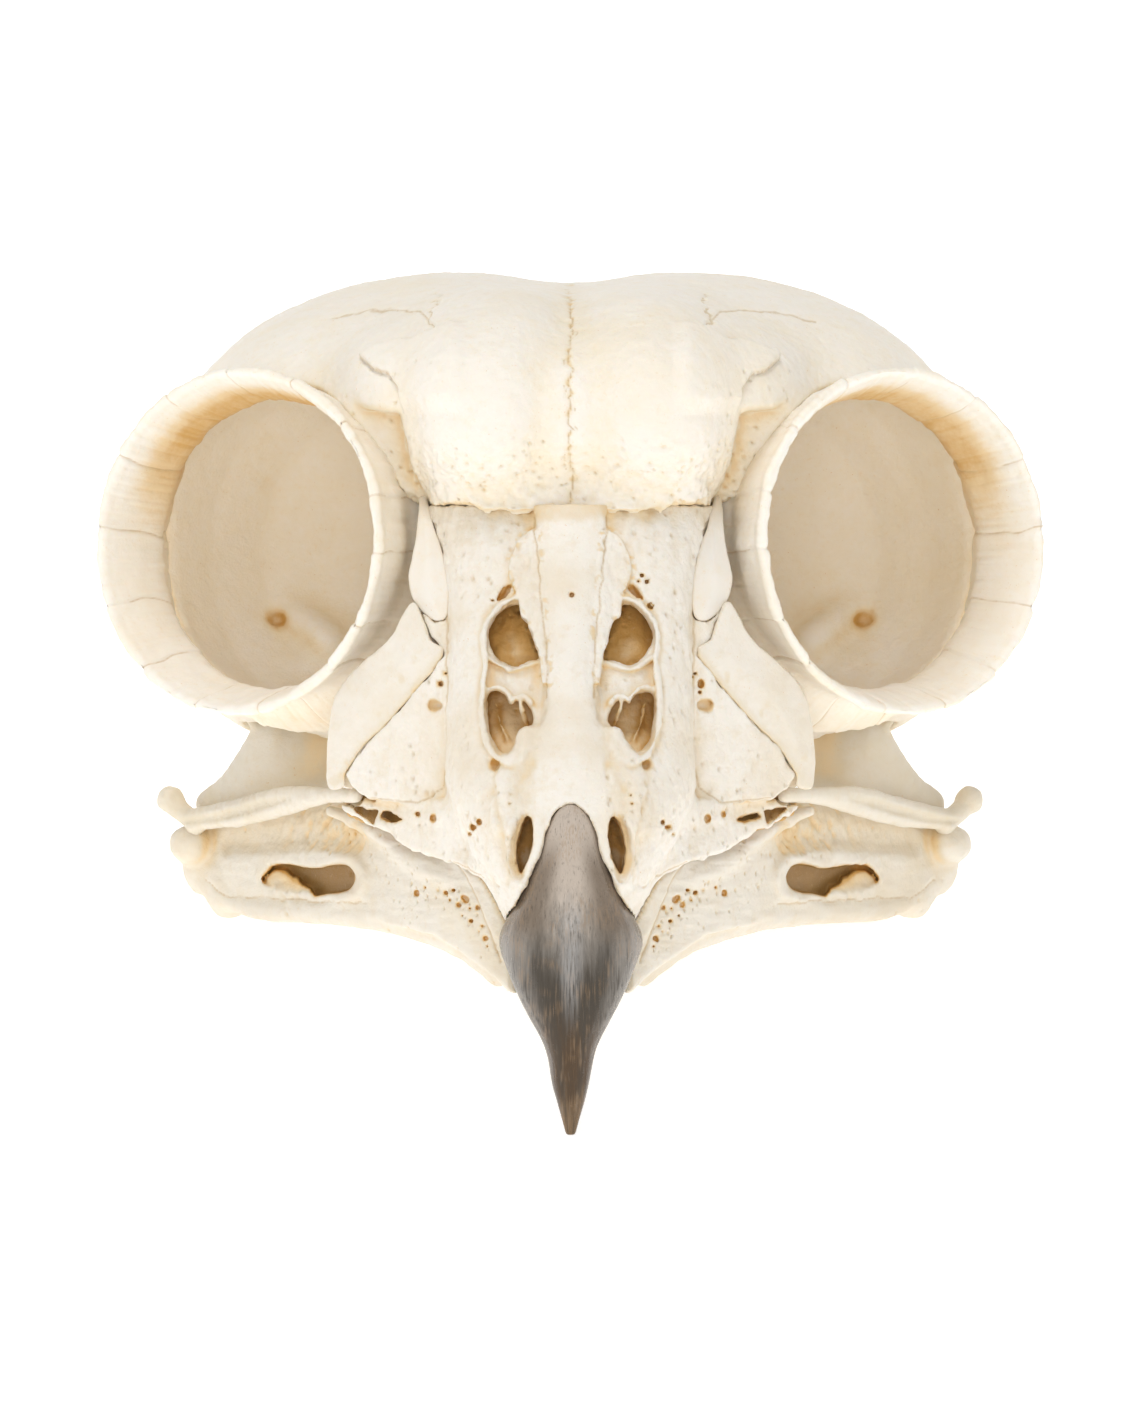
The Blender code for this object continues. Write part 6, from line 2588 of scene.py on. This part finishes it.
@dataclass
class BillHorn:
    """The streaked horn sheaths of the hooked upper bill and of the lower bill."""

    step: float = 0.14
    finish: HornFinish = HornFinish("bill_horn")

    def relief(self, points: Array, normals: Array, half: Callable[[Array], Array]) -> Relief:
        """Growth ridges along the bill, with fine cracks near the root.

        Args:
            points: the skin's points.
            normals: their normals, not used.
            half: gives the bill's half width at a height.

        Returns:
            The relief.
        """
        x, y, z = points.T
        skin = Relief.flat(len(points))
        across = x / np.maximum(half(z), 0.5) * 5.0
        streaks = np.stack([across / 0.42, z / 7.0, y / 3.0], axis=1)
        skin.rise += 0.028 * waves(streaks, 1.0, 181, 2) * ease(0.0, 4.0, z)
        skin.rise += 0.04 * waves(points, 1.9, 183, 2)
        frayed = waves(np.stack([across / 0.5, z / 3.0, y / 3.0], axis=1), 1.0, 185, 2)
        skin.rise -= 0.05 * ease(0.45, 0.9, frayed) * ease(14.0, 20.0, z)
        return skin

    def publish(self, name: str, clay: Clay, half: Callable[[Array], Array],
                material: bpy.types.Material) -> None:
        """Skin a sheath and hand it over in place of the solid of the same use.

        Args:
            name: the piece's name.
            clay: the shaped block.
            half: gives the bill's half width at a height.
            material: the horn.
        """
        mesh = build_mesh(name, *clay.skin())
        relax(mesh, 1)
        points = read_points(mesh)
        points -= clay.settle(points)
        mesh.vertices.foreach_set("co", points.astype(np.float32).ravel())
        mesh.update()
        normals = read_normals(mesh)
        rise = self.relief(points, normals, half).rise
        tints = {"height": points[:, 2], "aside": np.abs(points[:, 0]) / np.maximum(half(points[:, 2]), 0.3)}
        mesh.vertices.foreach_set("co", (points + normals * rise[:, None]).astype(np.float32).ravel())
        Piece(name, [name.replace("horn", "sheath")], Slot.HORN.value, material).publish(mesh, tints)

    def upper(self) -> Clay:
        """The hooked sheath.

        Returns:
            The shaped block.
        """
        clay = Clay((0.0, -7.5, -0.6), (6.8, 8.5, 27.0), self.step)
        clay.add(Stack(SHEATH, 2.1), 0.0)
        clay.cut(floor_plane(), 0.0)
        clay.unfold()
        return clay

    def lower(self) -> Clay:
        """The sheath of the lower bill, below the line on which the bill closes.

        Returns:
            The shaped block.
        """
        clay = Clay((0.0, 0.0, 6.5), (6.6, 9.0, 18.4), self.step)
        clay.add(Stack(LOWER_BILL, 2.3), 0.0)
        point, normal = np.array(BILL_PARTING[0]), np.array(BILL_PARTING[1])
        normal = normal / np.linalg.norm(normal)
        clay.cut(Half(tuple(point + normal * JOINT_GAP), tuple(normal)), 0.2)
        clay.cut(Block((-20.0, HORN_END_Y, -20.0), (20.0, 60.0, 60.0)), 0.15)
        clay.unfold()
        return clay

    def build(self) -> None:
        """Make both sheaths."""
        material = self.finish.material()
        for name, clay, sections in (("upper_bill_horn", self.upper(), spline(SHEATH, 6)),
                                     ("lower_bill_horn", self.lower(), spline(LOWER_BILL, 6))):
            self.publish(name, clay, lambda z, rows=sections: np.interp(z, rows[:, 0], rows[:, 1]), material)


# ---- the studio ----
@dataclass(frozen=True)
class SoftLight:
    """A large soft light that looks at the skull."""

    name: str
    place: Point
    width: float
    power: float
    colour: Point = (1.0, 1.0, 1.0)

    def build(self, target: Vector) -> None:
        """Hang the light and turn it to the target.

        Args:
            target: the place that it shines on.
        """
        lamp = bpy.data.lights.new(self.name, "AREA")
        lamp.shape = "DISK"
        lamp.size = self.width
        lamp.energy = self.power
        lamp.color = self.colour
        light = bpy.data.objects.new(self.name, lamp)
        bpy.context.scene.collection.objects.link(light)
        light.location = self.place
        light.rotation_euler = (target - Vector(self.place)).to_track_quat("-Z", "Y").to_euler()


@dataclass
class Studio:
    """Pale floor, soft light and the camera."""

    floor_half: float = 2.0
    sky: float = 0.62
    eye: Point = (-0.76, -930.0, 34.32)
    aim: Point = (-0.76, 10.0, 34.32)
    frame_height: float = 112.16
    lights: Sequence[SoftLight] = (
        SoftLight("key", (-0.20, 0.00, 1.15), 0.50, 3.9),
        SoftLight("front", (-0.04, -0.98, 0.42), 0.30, 1.60),
    )
    finish: FloorFinish = FloorFinish()

    def floor(self) -> None:
        """Lay the floor."""
        half = self.floor_half
        corners = np.array([(-half, -half, 0), (half, -half, 0), (half, half, 0), (-half, half, 0)])
        mesh = build_mesh("floor", corners, np.array([[0, 1, 2, 3]]))
        mesh.materials.append(self.finish.material())
        floor = bpy.data.objects.new("floor", mesh)
        bpy.context.scene.collection.objects.link(floor)
        floor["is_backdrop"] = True

    def world(self) -> None:
        """Light everything softly from all round."""
        world = bpy.data.worlds.new("studio_sky")
        world.use_nodes = True
        background = world.node_tree.nodes["Background"]
        background.inputs["Color"].default_value = (1.0, 1.0, 1.0, 1.0)
        background.inputs["Strength"].default_value = self.sky
        bpy.context.scene.world = world

    def camera(self) -> None:
        """Look at the face as the photograph does."""
        over = (self.aim[0], self.aim[1], self.aim[2] + 10.0)
        eye, aim, above = (Vector(row) for row in lay_down(np.array([self.eye, self.aim, over])))
        ahead = (aim - eye).normalized()
        upright = (above - aim).normalized()
        across = ahead.cross(upright)
        lens = bpy.data.cameras.new("camera")
        lens.sensor_fit = "VERTICAL"
        lens.sensor_width = lens.sensor_height = 36.0
        lens.lens = 36.0 * (self.aim[1] - self.eye[1]) / self.frame_height
        lens.clip_end = 20.0
        camera = bpy.data.objects.new("camera", lens)
        bpy.context.scene.collection.objects.link(camera)
        turn = Matrix((across, upright, -ahead)).transposed().to_4x4()
        camera.matrix_world = Matrix.Translation(eye) @ turn
        bpy.context.scene.camera = camera

    def build(self) -> None:
        """Set the studio up."""
        self.floor()
        self.world()
        for light in self.lights:
            light.build(Vector((0.0, 0.0, 0.03)))
        self.camera()
        bpy.context.scene.view_settings.view_transform = "Standard"


def corners() -> list[list[float]]:
    """The lowest and highest corner of everything shown."""
    return [[round(part, 6) for part in corner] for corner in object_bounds()]


def main() -> None:
    """Build every bone, the horn and the studio."""
    logging.basicConfig(level=logging.INFO, format="%(name)s: %(message)s")
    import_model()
    Studio().build()
    for part in (Cranium(), UpperJaw(), CheekBones(), EyeRings(), Mandible(), BillHorn()):
        part.build()
    jaw_finish = SmallBones().finish.material()
    JugalBars().build_pair("cheek_bar", "jugal_bar", jaw_finish)
    Quadrates().build_pair("joint_block", "quadrate", jaw_finish)
    Palatines().build_pair("palate_plate", "palatine", jaw_finish)
    Pterygoids().build_pair("palate_rod", "pterygoid", jaw_finish)


if __name__ == "__main__":
    main()
